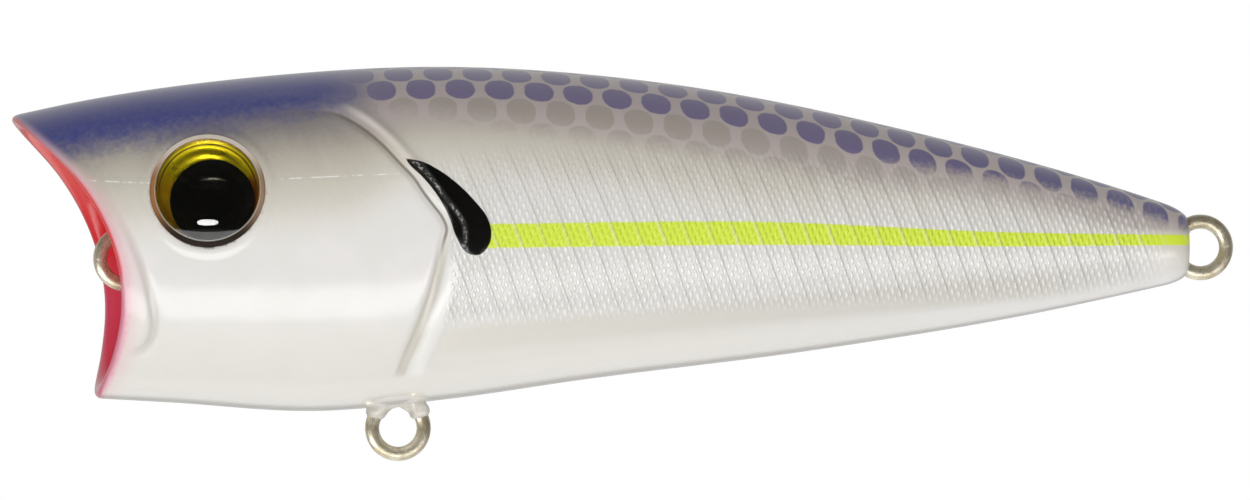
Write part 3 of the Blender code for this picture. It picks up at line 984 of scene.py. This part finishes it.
def head_violet(s, colour):
    """Solid violet on the back of the head, thinner towards its edge, and paler and greyer near the spine as a painted
    reflection.
    """
    cloud = s.noise(s.spot, 1.1, 3.0, 0.6)
    sprayed = s.step(s.violet_edge + (cloud - 0.5) * 1.8, -1.5, 1.6, 1.0, 0.0)
    tone = s.mix(s.step(s.speck, 0.3, 0.75), VIOLET, linear(90, 92, 142))
    # Painted reflection: paler, greyer violet near the spine.
    tone = s.mix(s.step(s.arc, 0.8, 4.2, 0.8, 0.0), tone, linear(122, 120, 160))
    return s.mix(sprayed * s.step(s.x, 11.5, 17.0, 1.0, 0.0), colour, tone)


def spine_gold(s, colour):
    """A gold line along the spine, wider in two dashes."""
    dash = s.band(s.x, 24.0, 27.0, 0.3) + s.band(s.x, 33.0, 36.5, 0.3)
    gold = s.math("LESS_THAN", s.arc, dash * 0.5 + 0.22)
    return s.mix(gold * s.band(s.x, 23.8, 41.0, 0.4), colour, GOLD)


def weave_height(s):
    """Height of the woven foil, where its high ridges run, and its stitches: all 0 to 1."""
    jitter = (s.noise(s.spot, 0.8, 3.0, 0.6) - 0.5) * 0.55
    steep = s.steep / RIDGE_PITCH
    turn = steep - round(steep)
    fine = s.math("COSINE", steep * (8 * math.pi) + jitter)
    cross = (s.x - s.z / math.tan(CROSS_SLANT)) / CROSS_PITCH
    cut = s.math("COSINE", (cross + jitter) * (2 * math.pi))
    stitch = s.step(fine, -0.8, 0.8) * s.step(cut, -0.9, 0.4, 0.15, 1.0)
    ridge = s.step(abs(turn), 0.03, 0.12, 1.0, 0.0)
    seam = s.step(abs(turn - 0.14), 0.02, 0.07, 1.0, 0.0)
    stitch = stitch * (1.0 - seam * 0.8)
    return stitch * 0.7 + ridge * 0.3, ridge, stitch


def weave_shade_and_glints(s, colour):
    """Painted shade in the weave's grooves and painted white highlights on its stitches, and the stripe with a painted
    highlight on the ridge tops across it.
    """
    shown = s.weave * s.step(s.z, 6.0, 1.0, 0.35, 1.0)
    # Painted shade: the weave darker in its grooves.
    colour = s.mix(s.step(s.stitch, 0.0, 0.5, 0.28, 0.0) * shown, colour, linear(176, 173, 164))
    # Painted highlight: white on the tops of the stitches.
    weave_glint_painted = s.step(s.stitch, 0.4, 1.0, 0.0, 0.75) * s.step(s.streak, 0.3, 0.65, 0.35, 1.0)
    colour = s.mix(weave_glint_painted * shown, colour, linear(252, 252, 250))
    ragged = s.stripe + (s.speck - 0.5) * 0.25
    # Painted highlight: paler stripe on the tops of the high ridges.
    tone = s.mix(s.ridge_top * s.step(s.streak, 0.35, 0.65, 0.2, 0.9), CHARTREUSE, STRIPE_RIDGE_HIGHLIGHT)
    return s.mix(s.band(ragged, -1.0, 1.0, 0.09) * s.step(s.x, 21.6, 21.8), colour, tone)


def gill_groove_shade_and_ridge_light(s, colour):
    """Painted shade in the gill line's groove, and on the ridge behind it paler paint with painted highlight."""
    zone = s.step(s.x, 11.3, 13.5) * s.step(s.z, -7.7, -7.1)
    low = s.step(s.z, 1.5, -0.8)
    # Upper ridge: partly paler paint and partly painted highlight.
    ridge = s.band(s.gill, 0.45, 0.85, 0.2) * (s.step(s.x, 12.6, 15.2) * s.step(s.z, 0.0, 4.0))
    colour = s.mix(ridge * 0.75, colour, linear(226, 217, 209))
    # Painted highlight on the lower ridge.
    low_ridge_highlight = s.band(s.gill, 0.6, 1.4, 0.2) * (zone * low)
    colour = s.mix(low_ridge_highlight * 0.6, colour, linear(246, 245, 241))
    # Painted shadow: a thin dark line in the upper groove.
    thin = s.step(abs(s.gill), 0.03, 0.16, 1.0, 0.0) * zone * (1.0 - low)
    colour = s.mix(thin * 0.8, colour, linear(120, 110, 98))
    # Painted shade: a broad taupe band in the lower groove.
    broad_groove_shade = s.band(s.gill, -0.3, 0.36, 0.12) * (zone * low)
    return s.mix(broad_groove_shade * 0.85, colour, linear(205, 200, 188))


def black_mark(s, colour):
    """The black mark, with a painted grey sheen along its ridge and painted white specks of highlight on it."""
    # Painted highlight: white specks along the ridge.
    mark_glint_painted = s.step(s.noise(s.spot, 5.0, 2.0, 0.7), 0.5, 0.66) * s.step(s.ridge_line, 0.04, 0.16, 1.0, 0.0)
    mark_glint_painted = mark_glint_painted * s.step(s.z, 1.5, 4.5, 0.6, 0.95)
    tone = s.mix(mark_glint_painted * s.step(s.comma, -0.06, -0.14), BLACK, linear(190, 188, 182))
    # Painted sheen: grey along the ridge.
    tone = s.mix(s.step(s.ridge_line, 0.05, 0.3, 0.10, 0.0), tone, linear(150, 148, 144))
    return s.mix(s.black, colour, tone)


def crease_shade_and_line_highlight(s, colour):
    """Painted shade in the crease behind the lip, and a painted highlight in white dashes along the fine line moulded
    on the head.
    """
    # Painted shade: darker in the crease.
    shade = s.step(s.crease_line, 0.1, 0.42, 0.7, 0.0) * s.crease_strength
    colour = s.mix(shade, colour, linear(204, 198, 191))
    # Painted highlight: a broken white line along the head's moulded ridge.
    off_line = abs(s.z - (abs(s.x - 2.0) * 0.045 + 4.72))
    line = s.step(off_line, 0.025, 0.06, 1.0, 0.0) * s.step(s.x, 17.2, 16.6)
    line = line * s.step(s.noise(s.spot, 2.6, 3.0, 0.7), 0.45, 0.6) * s.step(s.x, -3.4, -3.0)
    return s.mix(line * 0.65, colour, linear(250, 250, 248))


def mouth_red(s, colour):
    """Pink overspray around the rim, and red inside."""
    near = (s.behind_rim + (s.speck - 0.5) * 0.3) / s.step(s.z, 3.0, 7.5, 1.0, 0.55)
    colour = s.mix(s.step(near, 0.2, 1.9, 0.5, 0.0), colour, OVERSPRAY)
    pink = s.step(near, 0.05, 0.7, 0.9, 0.0) * s.step(s.z, -0.5, -4.0, 0.45, 1.0)
    colour = s.mix(pink, colour, linear(232, 142, 168))
    red = s.mix(s.step(s.z, -2.5, 1.5), RED_LOW, RED_DEEP)
    red = s.mix(s.step(s.z, 2.5, 6.0), red, RED_TOP)
    red = s.mix(s.step(s.speck, 0.3, 0.8, 0.0, 0.2), red, linear(240, 96, 96))
    return s.mix(s.inner, colour, red)


def clear_coat(s):
    """Clear coat over everything, broken by the weave."""
    lifted = s.foil * (s.weave * (1.0 - s.black))
    normal = s.bump(lifted + (s.noise(s.spot, 1.1, 2.0) * 0.1 + s.noise(s.spot, 14.0, 2.0) * 0.05), 0.07)
    s.set(Normal=normal, Coat_Normal=normal, Coat_Weight=1.0, Coat_Roughness=0.12, Coat_IOR=1.5)
    s.set(Roughness=s.step(s.speck, 0.2, 0.8, 0.3, 0.4) - s.black * 0.12, Specular_IOR_Level=0.3)


def make_body_paint():
    s = BodyPaint()
    colour = pearl_under_mask(s)
    for coat in (shade_band_and_warm_belly, scale_net, head_violet, spine_gold, weave_shade_and_glints, gill_groove_shade_and_ridge_light, black_mark,
                 crease_shade_and_line_highlight, mouth_red):
        colour = coat(s, colour)
    s.set(Base_Color=colour)
    clear_coat(s)
    return s.material


# ---------------------------------------------------------------- the other materials

def make_plain(name, colour, other, roughness, grain, relief_mm, **settings):
    """A material whose colour, roughness and surface vary with a fine grain."""
    s = Shade(name)
    place = s.place()
    fine = s.noise(place, grain, 4.0, 0.6)
    s.set(Base_Color=s.mix(s.step(fine, 0.3, 0.7), colour, other))
    s.set(Roughness=s.step(fine, 0.25, 0.75, roughness * 0.8, roughness * 1.25))
    s.set(Normal=s.bump(s.noise(place, grain * 2.0, 3.0), relief_mm), **settings)
    return s.material


def make_wire_metal():
    """Drawn nickel-plated wire: streaks along the drawing direction, and a warm film in patches."""
    s = Shade("wire_nickel")
    drawn = s.scaled(s.out(0, "UVMap", uv_map="wire"), (2.0, 60.0, 1.0))
    draw = s.noise(drawn, 1.0, 3.0, 0.6)
    film = s.noise(s.place(), 0.9, 3.0, 0.6)
    s.set(Base_Color=s.mix(s.step(film, 0.3, 0.7), linear(232, 224, 202), linear(196, 182, 150)))
    s.set(Metallic=0.72, Roughness=s.step(draw, 0.2, 0.8, 0.18, 0.36), Normal=s.bump(draw, 0.012))
    return s.material


def disc_place(s):
    """Radius in millimetres, and the rearward and upward shares of a place on the eye."""
    u, v, _ = s.split(s.out(0, "UVMap", uv_map="disc"))
    radius = s.math("SQRT", u * u + v * v)
    safe = s.math("MAXIMUM", radius, 0.05)
    return radius, u / safe, v / safe


def make_iris_foil():
    """Gold foil, orange at the back, with a painted highlight that makes it bright yellow at the top, and a dark line
    around its dish.
    """
    s = Shade("iris_gold")
    radius, rearward, upward = disc_place(s)
    film = s.noise(s.place(), 1.2, 3.0)
    colour = s.mix(s.step(rearward, -0.6, 0.9), linear(224, 178, 18), linear(196, 112, 8))
    # Painted highlight: bright yellow at the top.
    top = upward + (film - 0.5) * 0.5
    colour = s.mix(s.step(top, 0.1, 0.6), colour, linear(248, 228, 0))
    olive = s.band(radius, 2.35, 2.5, 0.1) * s.step(upward, 0.5, 0.8)
    colour = s.mix(olive * 0.6, colour, linear(168, 140, 0))
    dark = s.band(radius, 2.83, 2.93, 0.05) * s.step(upward, -0.2, 0.4)
    colour = s.mix(dark, colour, linear(60, 44, 14))
    colour = s.mix(s.step(radius, 3.0, 3.1, 0.0, 0.8), colour, linear(176, 146, 62))
    s.set(Base_Color=colour, Metallic=0.6, Roughness=s.step(film, 0.3, 0.7, 0.26, 0.4))
    s.set(Normal=s.bump(s.math("SINE", radius * 9.0), 0.02))
    return s.material


def make_dome_clear():
    """Clear amber acrylic with an opaque tan edge: tan at the front and back, paler above as painted light and dark
    brown below as painted shade.
    """
    s = Shade("eye_clear")
    radius, rearward, upward = disc_place(s)
    edge = s.step(radius, 3.28, 3.4)
    tone = s.mix(s.step(rearward, -0.8, 0.8), linear(140, 98, 62), linear(136, 112, 92))
    # Painted shade: dark brown at the bottom of the edge.
    tone = s.mix(s.step(upward, -0.25, -0.85), tone, linear(34, 24, 18))
    # Painted light: paler at the top of the edge.
    tone = s.mix(s.step(upward, 0.2, 0.85), tone, linear(204, 192, 180))
    haze = s.noise(s.place(), 2.0, 3.0)
    s.set(Base_Color=s.mix(edge, linear(255, 252, 238), tone), Transmission_Weight=1.0 - edge, IOR=1.49)
    s.set(Roughness=s.step(haze, 0.2, 0.8, 0.0, 0.03) + edge * 0.35)
    s.set(Specular_IOR_Level=0.5 - edge * 0.42)
    return s.material


# ---------------------------------------------------------------- wires and fillets

def arc(centre, radius, start, end, steps):
    turns = np.linspace(start, end, steps + 1)
    return [(centre[0] + radius * math.cos(turn), centre[1] + radius * math.sin(turn)) for turn in turns]


def wire_outline(shank):
    """The closed middle line of a wire form: its ring is at the origin and its loop at (shank, 0)."""
    rise = WAIST_OFFSET + WAIST_FILLET
    ring_reach = RING_RADIUS + WAIST_FILLET
    loop_reach = LOOP_RADIUS + WAIST_FILLET
    ring_turn = math.asin(rise / ring_reach)
    loop_turn = math.asin(rise / loop_reach)
    near = (ring_reach * math.cos(ring_turn), rise)
    far = (shank - loop_reach * math.cos(loop_turn), rise)
    half = arc((0.0, 0.0), RING_RADIUS, math.pi, ring_turn, 36)
    half += arc(near, WAIST_FILLET, ring_turn - math.pi, -math.pi / 2, 8)[1:]
    half += arc(far, WAIST_FILLET, -math.pi / 2, -loop_turn, 8)
    half += arc((shank, 0.0), LOOP_RADIUS, math.pi - loop_turn, 0.0, 22)[1:]
    return half + [(along, -across) for along, across in reversed(half[1:-1])]


def in_seam_plane(centre, direction, along, across):
    x = centre[0] + direction[0] * along - direction[1] * across
    z = centre[1] + direction[1] * along + direction[0] * across
    return x, z


def sweep(name, path, radii, flatten=1.0, closed=True, segments=28):
    """A round bar along a path in the seam plane; radii may change along it, and flatten thins it in Y."""
    path = np.array(path, float)
    if closed:
        tangents = np.roll(path, -1, axis=0) - np.roll(path, 1, axis=0)
    else:
        tangents = np.gradient(path, axis=0)
    tangents /= np.linalg.norm(tangents, axis=1, keepdims=True)
    turns = np.linspace(0.0, 2 * math.pi, segments, endpoint=False)
    points = []
    for (x, z), (tx, tz), radius in zip(path, tangents, np.broadcast_to(radii, (len(path),))):
        for turn in turns:
            out = radius * math.cos(turn)
            points.append((x - tz * out, radius * flatten * math.sin(turn), z + tx * out))
    rows = len(path)
    faces = grid_faces(rows, segments, wrap=True)
    if closed:
        for j in range(segments):
            k = (j + 1) % segments
            faces.append(((rows - 1) * segments + j, (rows - 1) * segments + k, k, j))
    else:
        faces.append(tuple(range(segments)))
        faces.append(tuple((rows - 1) * segments + j for j in range(segments)))
    thing = mesh_from_lists(name, points, faces, 60)
    layer = thing.data.uv_layers.new(name="wire")
    lengths = np.concatenate(([0.0], np.cumsum(np.hypot(*np.diff(path, axis=0).T))))
    for loop in thing.data.loops:
        i, j = divmod(loop.vertex_index, segments)
        layer.data[loop.index].uv = (lengths[i], abs(j / segments - 0.5) * 2)
    return thing


# ---------------------------------------------------------------- build: body

materials = {
    "paint": make_body_paint(),
    "plastic": make_plain("shell_plastic", linear(236, 234, 228), linear(228, 226, 220), 0.4, 1.5, 0.02),
    "wire": make_wire_metal(),
    "fillet": make_plain("clear_paint_fillet", linear(226, 222, 214), linear(206, 201, 190), 0.2, 1.2, 0.05,
                         Coat_Weight=0.6, Subsurface_Weight=0.15, Subsurface_Scale=0.0006),
    "dome": make_dome_clear(),
    "pupil": make_plain("pupil_black", linear(10, 10, 9), linear(18, 17, 14), 0.18, 2.0, 0.01,
                        Coat_Weight=0.5),
    "iris": make_iris_foil(),
    "brass": make_plain("turned_brass", linear(206, 170, 96), linear(186, 148, 78), 0.32, 2.5, 0.02,
                        Metallic=1.0),
    "steel": make_plain("bearing_steel", linear(200, 200, 204), linear(186, 187, 192), 0.14, 2.5, 0.004,
                        Metallic=1.0),
}


def make_shell(node, side):
    """A painted half body: the fine skin outside, and the CAD shell's own room inside."""
    shell = half_body(node + "_painted", side)
    shell.data.materials.append(materials["paint"])
    shell.data.materials.append(materials["plastic"])
    cuts = {"scratch": scratch_collection(node + "_scratch"), "cuts": scratch_collection(node + "_cuts")}
    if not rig.quick():
        cuts["cuts"].objects.link(hollow_of(node, cuts))
    add_slots(cuts["cuts"])
    socket = cylinder(node + "_socket", SOCKET_RADIUS, -SOCKET_DEPTH, EYE_RADIUS, 128, cuts["cuts"])
    set_in_eye(socket, side)
    for cutter in cuts["cuts"].objects:
        cutter.data.materials.clear()
        cutter.data.materials.append(materials["plastic"])
    boolean(shell, "DIFFERENCE", cuts["cuts"])
    bpy.context.view_layer.update()
    bake_modifiers(shell)
    for collection in cuts.values():
        clear_collection(collection)
    shell.data.set_sharp_from_angle(angle=math.radians(40))
    write_paint_attributes(shell)
    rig.ride(shell, BODY)
    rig.replaces(shell, node)
    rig.slot(shell, "body_paint")
    return shell


for node, side in (("left_shell", -1), ("right_shell", 1)):
    make_shell(node, side)


# ---------------------------------------------------------------- build: wires

wire_receivers = bpy.data.collections.new("wire_receivers")

for name, centre, direction, shank in WIRES:
    outline = [in_seam_plane(centre, direction, along, across) for along, across in wire_outline(shank)]
    wire = sweep(name + "_wire", outline, WIRE_RADIUS)
    wire.data.materials.append(materials["wire"])
    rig.ride(wire, BODY)
    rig.replaces(wire, name)
    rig.slot(wire, "wire")
    wire_receivers.objects.link(wire)


# ---------------------------------------------------------------- build: paint gathered at the rings

BRIDGE_MIDDLE = 0.72


def paint_bridge(name, wire, start, end, rise, thickness):
    """A swell of clear paint along a ring's arc, from start to end degrees about the ring's centre."""
    _, centre, direction, _ = wire
    spots = np.linspace(0.0, 1.0, 33)
    turns = np.radians(start + (end - start) * spots)
    hump = np.sin(math.pi * spots) ** 1.5
    reach = RING_RADIUS + rise * hump
    pairs = zip(reach * np.cos(turns), reach * np.sin(turns))
    path = [in_seam_plane(centre, direction, *pair) for pair in pairs]
    from_end = np.clip(np.minimum(spots, 1.0 - spots) / 0.1, 0.0, 1.0)
    cap = np.sqrt(np.clip(1.0 - (1.0 - from_end) ** 2, 0.04, 1.0))
    lumps = 1.0 + 0.07 * np.sin(9.0 * spots + 0.6) * np.sin(17.0 * spots)
    radii = (thickness + (BRIDGE_MIDDLE - thickness) * hump) * cap * lumps
    bridge = sweep(name, path, radii, closed=False)
    bridge.data.materials.append(materials["fillet"])
    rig.ride(bridge, BODY)
    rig.slot(bridge, "body_paint")


paint_bridge("belly_paint_bridge", WIRES[1], -70.0, 72.0, 0.36, 0.6)
paint_bridge("tail_paint_bridge", WIRES[2], -66.0, 66.0, 0.30, 0.52)


# ---------------------------------------------------------------- build: eyes

EYE_BALL_TOP = 0.9
EYE_EDGE = -0.2
EYE_BACK = -0.8


def turned(name, profile, segments=96):
    """A closed solid turned about Z from (radius, height) points that start and end on the axis."""
    turns = np.linspace(0.0, 2 * math.pi, segments, endpoint=False)
    points = [(0.0, 0.0, profile[0][1])]
    for radius, height in profile[1:-1]:
        points += [(radius * math.cos(turn), radius * math.sin(turn), height) for turn in turns]
    points.append((0.0, 0.0, profile[-1][1]))
    rows = len(profile) - 2
    faces = [tuple(index + 1 for index in face) for face in grid_faces(rows, segments, wrap=True)]
    for j in range(segments):
        k = (j + 1) % segments
        faces.append((0, 1 + k, 1 + j))
        faces.append((len(points) - 1, 1 + (rows - 1) * segments + j, 1 + (rows - 1) * segments + k))
    thing = mesh_from_lists(name, points, faces, 35)
    layer = thing.data.uv_layers.new(name="disc")
    for loop in thing.data.loops:
        co = thing.data.vertices[loop.vertex_index].co
        layer.data[loop.index].uv = (co.x / MM, co.y / MM)
    return thing


def dome_profile():
    rise = EYE_BALL_TOP - EYE_EDGE
    ball = (EYE_RADIUS ** 2 + rise ** 2) / (2 * rise)
    widest = math.asin(EYE_RADIUS / ball)
    profile = []
    for turn in np.linspace(0.0, widest, 22):
        profile.append((ball * math.sin(turn), EYE_BALL_TOP - ball * (1 - math.cos(turn))))
    profile.append((EYE_RADIUS, EYE_BACK + 0.05))
    profile.append((EYE_RADIUS - 0.05, EYE_BACK))
    profile.append((0.0, EYE_BACK))
    return profile


def pupil_profile():
    """A thin disc with a fine raised ring."""
    profile = [(0.0, -0.85)]
    for radius in np.linspace(0.05, 2.45, 49):
        profile.append((radius, -0.85 + 0.05 * math.exp(-((radius - 1.4) / 0.06) ** 2)))
    return profile + [(2.5, -0.87), (2.5, -0.95), (2.45, -0.97), (0.0, -0.97)]


def iris_profile():
    """A shallow dish of foil that rises to its rim."""
    profile = [(0.0, -1.02)]
    for radius in np.linspace(0.1, 3.35, 40):
        profile.append((radius, -1.02 + 0.16 * max(0.0, (radius - 2.6) / 0.75) ** 2))
    return profile + [(3.4, -0.9), (3.4, -1.1), (3.36, -1.14), (0.0, -1.14)]


eye_receivers = bpy.data.collections.new("eye_receivers")

for prefix, side in (("left", -1), ("right", 1)):
    for part, profile, finish, offset, slot in (
        ("eye_dome", dome_profile(), "dome", (0.0, 0.0), "eye_clear"),
        ("eye_pupil", pupil_profile(), "pupil", (0.3, -0.62), "eye_black"),
        ("eye_iris", iris_profile(), "iris", (0.0, 0.0), "eye_gold"),
    ):
        piece = turned(f"{prefix}_{part}_fine", profile)
        piece.data.materials.append(materials[finish])
        set_in_eye(piece, side, offset)
        apply_place(piece)
        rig.ride(piece, BODY)
        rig.replaces(piece, f"{prefix}_{part}")
        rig.slot(piece, slot)
        eye_receivers.objects.link(piece)


# ---------------------------------------------------------------- build: ballast and balls

for name, finish in (
    ("belly_ballast", "brass"), ("tail_ballast", "brass"),
    ("rattle_ball_1", "steel"), ("rattle_ball_2", "steel"),
    ("rattle_ball_3", "steel"), ("rattle_ball_4", "steel"),
):
    for slot in frame["nodes"][name].material_slots:
        slot.material = materials[finish]


# ---------------------------------------------------------------- stage, lights, camera

FLOOR_X = 31.0
FLOOR_Z = -520.0
FLOOR_RADIUS = 1500.0
MIDDLE = Vector((30.0, 0.0, 1.0))
FILL_DISTANCE = 800.0
BOX_DISTANCE = 700.0
UNDER_DISTANCE = 440.0
CAMERA_YAW = math.radians(6.0)
CAMERA_DISTANCE = 1438.7
CAMERA_TARGET = Vector((31.90, 0.0, 0.54))
CAMERA_LENS = 650.0
CAMERA_SENSOR = 36.0


def make_stage():
    turns = np.linspace(0, 2 * math.pi, 96, endpoint=False)
    points = [(FLOOR_X + FLOOR_RADIUS * math.cos(t), FLOOR_RADIUS * math.sin(t), FLOOR_Z) for t in turns]
    floor = mesh_from_lists("floor", points, [tuple(range(len(points)))])
    s = Shade("floor_pale")
    s.set(Base_Color=s.mix(s.noise(s.place(), 0.02, 2.0), linear(240, 240, 240), linear(236, 236, 237)))
    s.set(Roughness=0.8)
    floor.data.materials.append(s.material)
    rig.stage(floor)


def add_softbox(name, azimuth, elevation, distance, size, power):
    """A rectangular light that looks at the body's middle; azimuth 0 is the side of the left eye."""
    light = bpy.data.lights.new(name, "AREA")
    light.shape = "RECTANGLE"
    light.size = size[0] * MM
    light.size_y = size[1] * MM
    light.energy = power
    lamp = add_object(name, light)
    turn = math.radians(azimuth)
    rise = math.radians(elevation)
    away = Vector((math.sin(turn) * math.cos(rise), -math.cos(turn) * math.cos(rise), math.sin(rise)))
    lamp.location = (MIDDLE + away * distance) * MM
    lamp.rotation_euler = away.to_track_quat("Z", "Y").to_euler()
    lamp.visible_camera = False
    return lamp


make_stage()
add_softbox("low_box", -6.0, -31.5, BOX_DISTANCE, (1500.0, 225.0), 3.0)
add_softbox("under_box", 180.0, -60.0, UNDER_DISTANCE, (900.0, 360.0), 0.55)
for label, turn, rise, size, power in (
    ("front_high", -6.0, 44.0, (1400.0, 700.0), 3.3),
    ("front_fill", -6.0, 0.0, (1000.0, 500.0), 2.5),
    ("back_fill", 174.0, 12.0, (1000.0, 500.0), 2.6),
):
    fill = add_softbox(label, turn, rise, FILL_DISTANCE, size, power)
    fill.visible_glossy = False
    fill.visible_transmission = False
window = add_softbox("window", -9.5, -12.0, BOX_DISTANCE, (300.0, 85.0), 1.5)
window.data.shape = "ELLIPSE"
window.light_linking.receiver_collection = eye_receivers
glow = add_softbox("wire_glow", -55.0, -28.0, BOX_DISTANCE, (260.0, 140.0), 2.2)
glow.light_linking.receiver_collection = wire_receivers


def make_world():
    """White for the camera; for the object, dim in front and bright behind, as before a paper backdrop."""
    world = bpy.data.worlds.new("studio")
    world.use_nodes = True
    bpy.context.scene.world = world
    nodes = world.node_tree.nodes
    links = world.node_tree.links
    paper = nodes["Background"]
    paper.inputs["Color"].default_value = (1.0, 1.0, 1.0, 1.0)
    direction = nodes.new("ShaderNodeTexCoord")
    parts = nodes.new("ShaderNodeSeparateXYZ")
    depth = nodes.new("ShaderNodeMapRange")
    depth.interpolation_type = "SMOOTHSTEP"
    for name, value in (("From Min", -0.2), ("From Max", 0.8), ("To Min", 0.02), ("To Max", 0.5)):
        depth.inputs[name].default_value = value
    links.new(direction.outputs["Generated"], parts.inputs[0])
    links.new(parts.outputs["Y"], depth.inputs["Value"])
    links.new(depth.outputs["Result"], paper.inputs["Strength"])
    white = nodes.new("ShaderNodeBackground")
    white.inputs["Color"].default_value = (1.0, 1.0, 1.0, 1.0)
    white.inputs["Strength"].default_value = 1.0
    chooser = nodes.new("ShaderNodeMixShader")
    paths = nodes.new("ShaderNodeLightPath")
    links.new(paths.outputs["Is Camera Ray"], chooser.inputs[0])
    links.new(paper.outputs[0], chooser.inputs[1])
    links.new(white.outputs[0], chooser.inputs[2])
    links.new(chooser.outputs[0], nodes["World Output"].inputs["Surface"])


def make_camera():
    lens = bpy.data.cameras.new("camera")
    lens.lens = CAMERA_LENS
    lens.sensor_width = CAMERA_SENSOR
    lens.clip_start = 0.01
    lens.clip_end = 20.0
    camera = add_object("camera", lens)
    view = Vector((math.sin(CAMERA_YAW), math.cos(CAMERA_YAW), 0.0))
    camera.location = (CAMERA_TARGET - view * CAMERA_DISTANCE) * MM
    camera.rotation_euler = (-view).to_track_quat("Z", "Y").to_euler()
    bpy.context.scene.camera = camera
    bpy.context.scene.view_settings.view_transform = "Standard"


make_world()
make_camera()

low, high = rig.bounds()
with open("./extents.json", "w") as file:
    json.dump({"cad": [list(cad_low), list(cad_high)], "visual": [list(low), list(high)]}, file)
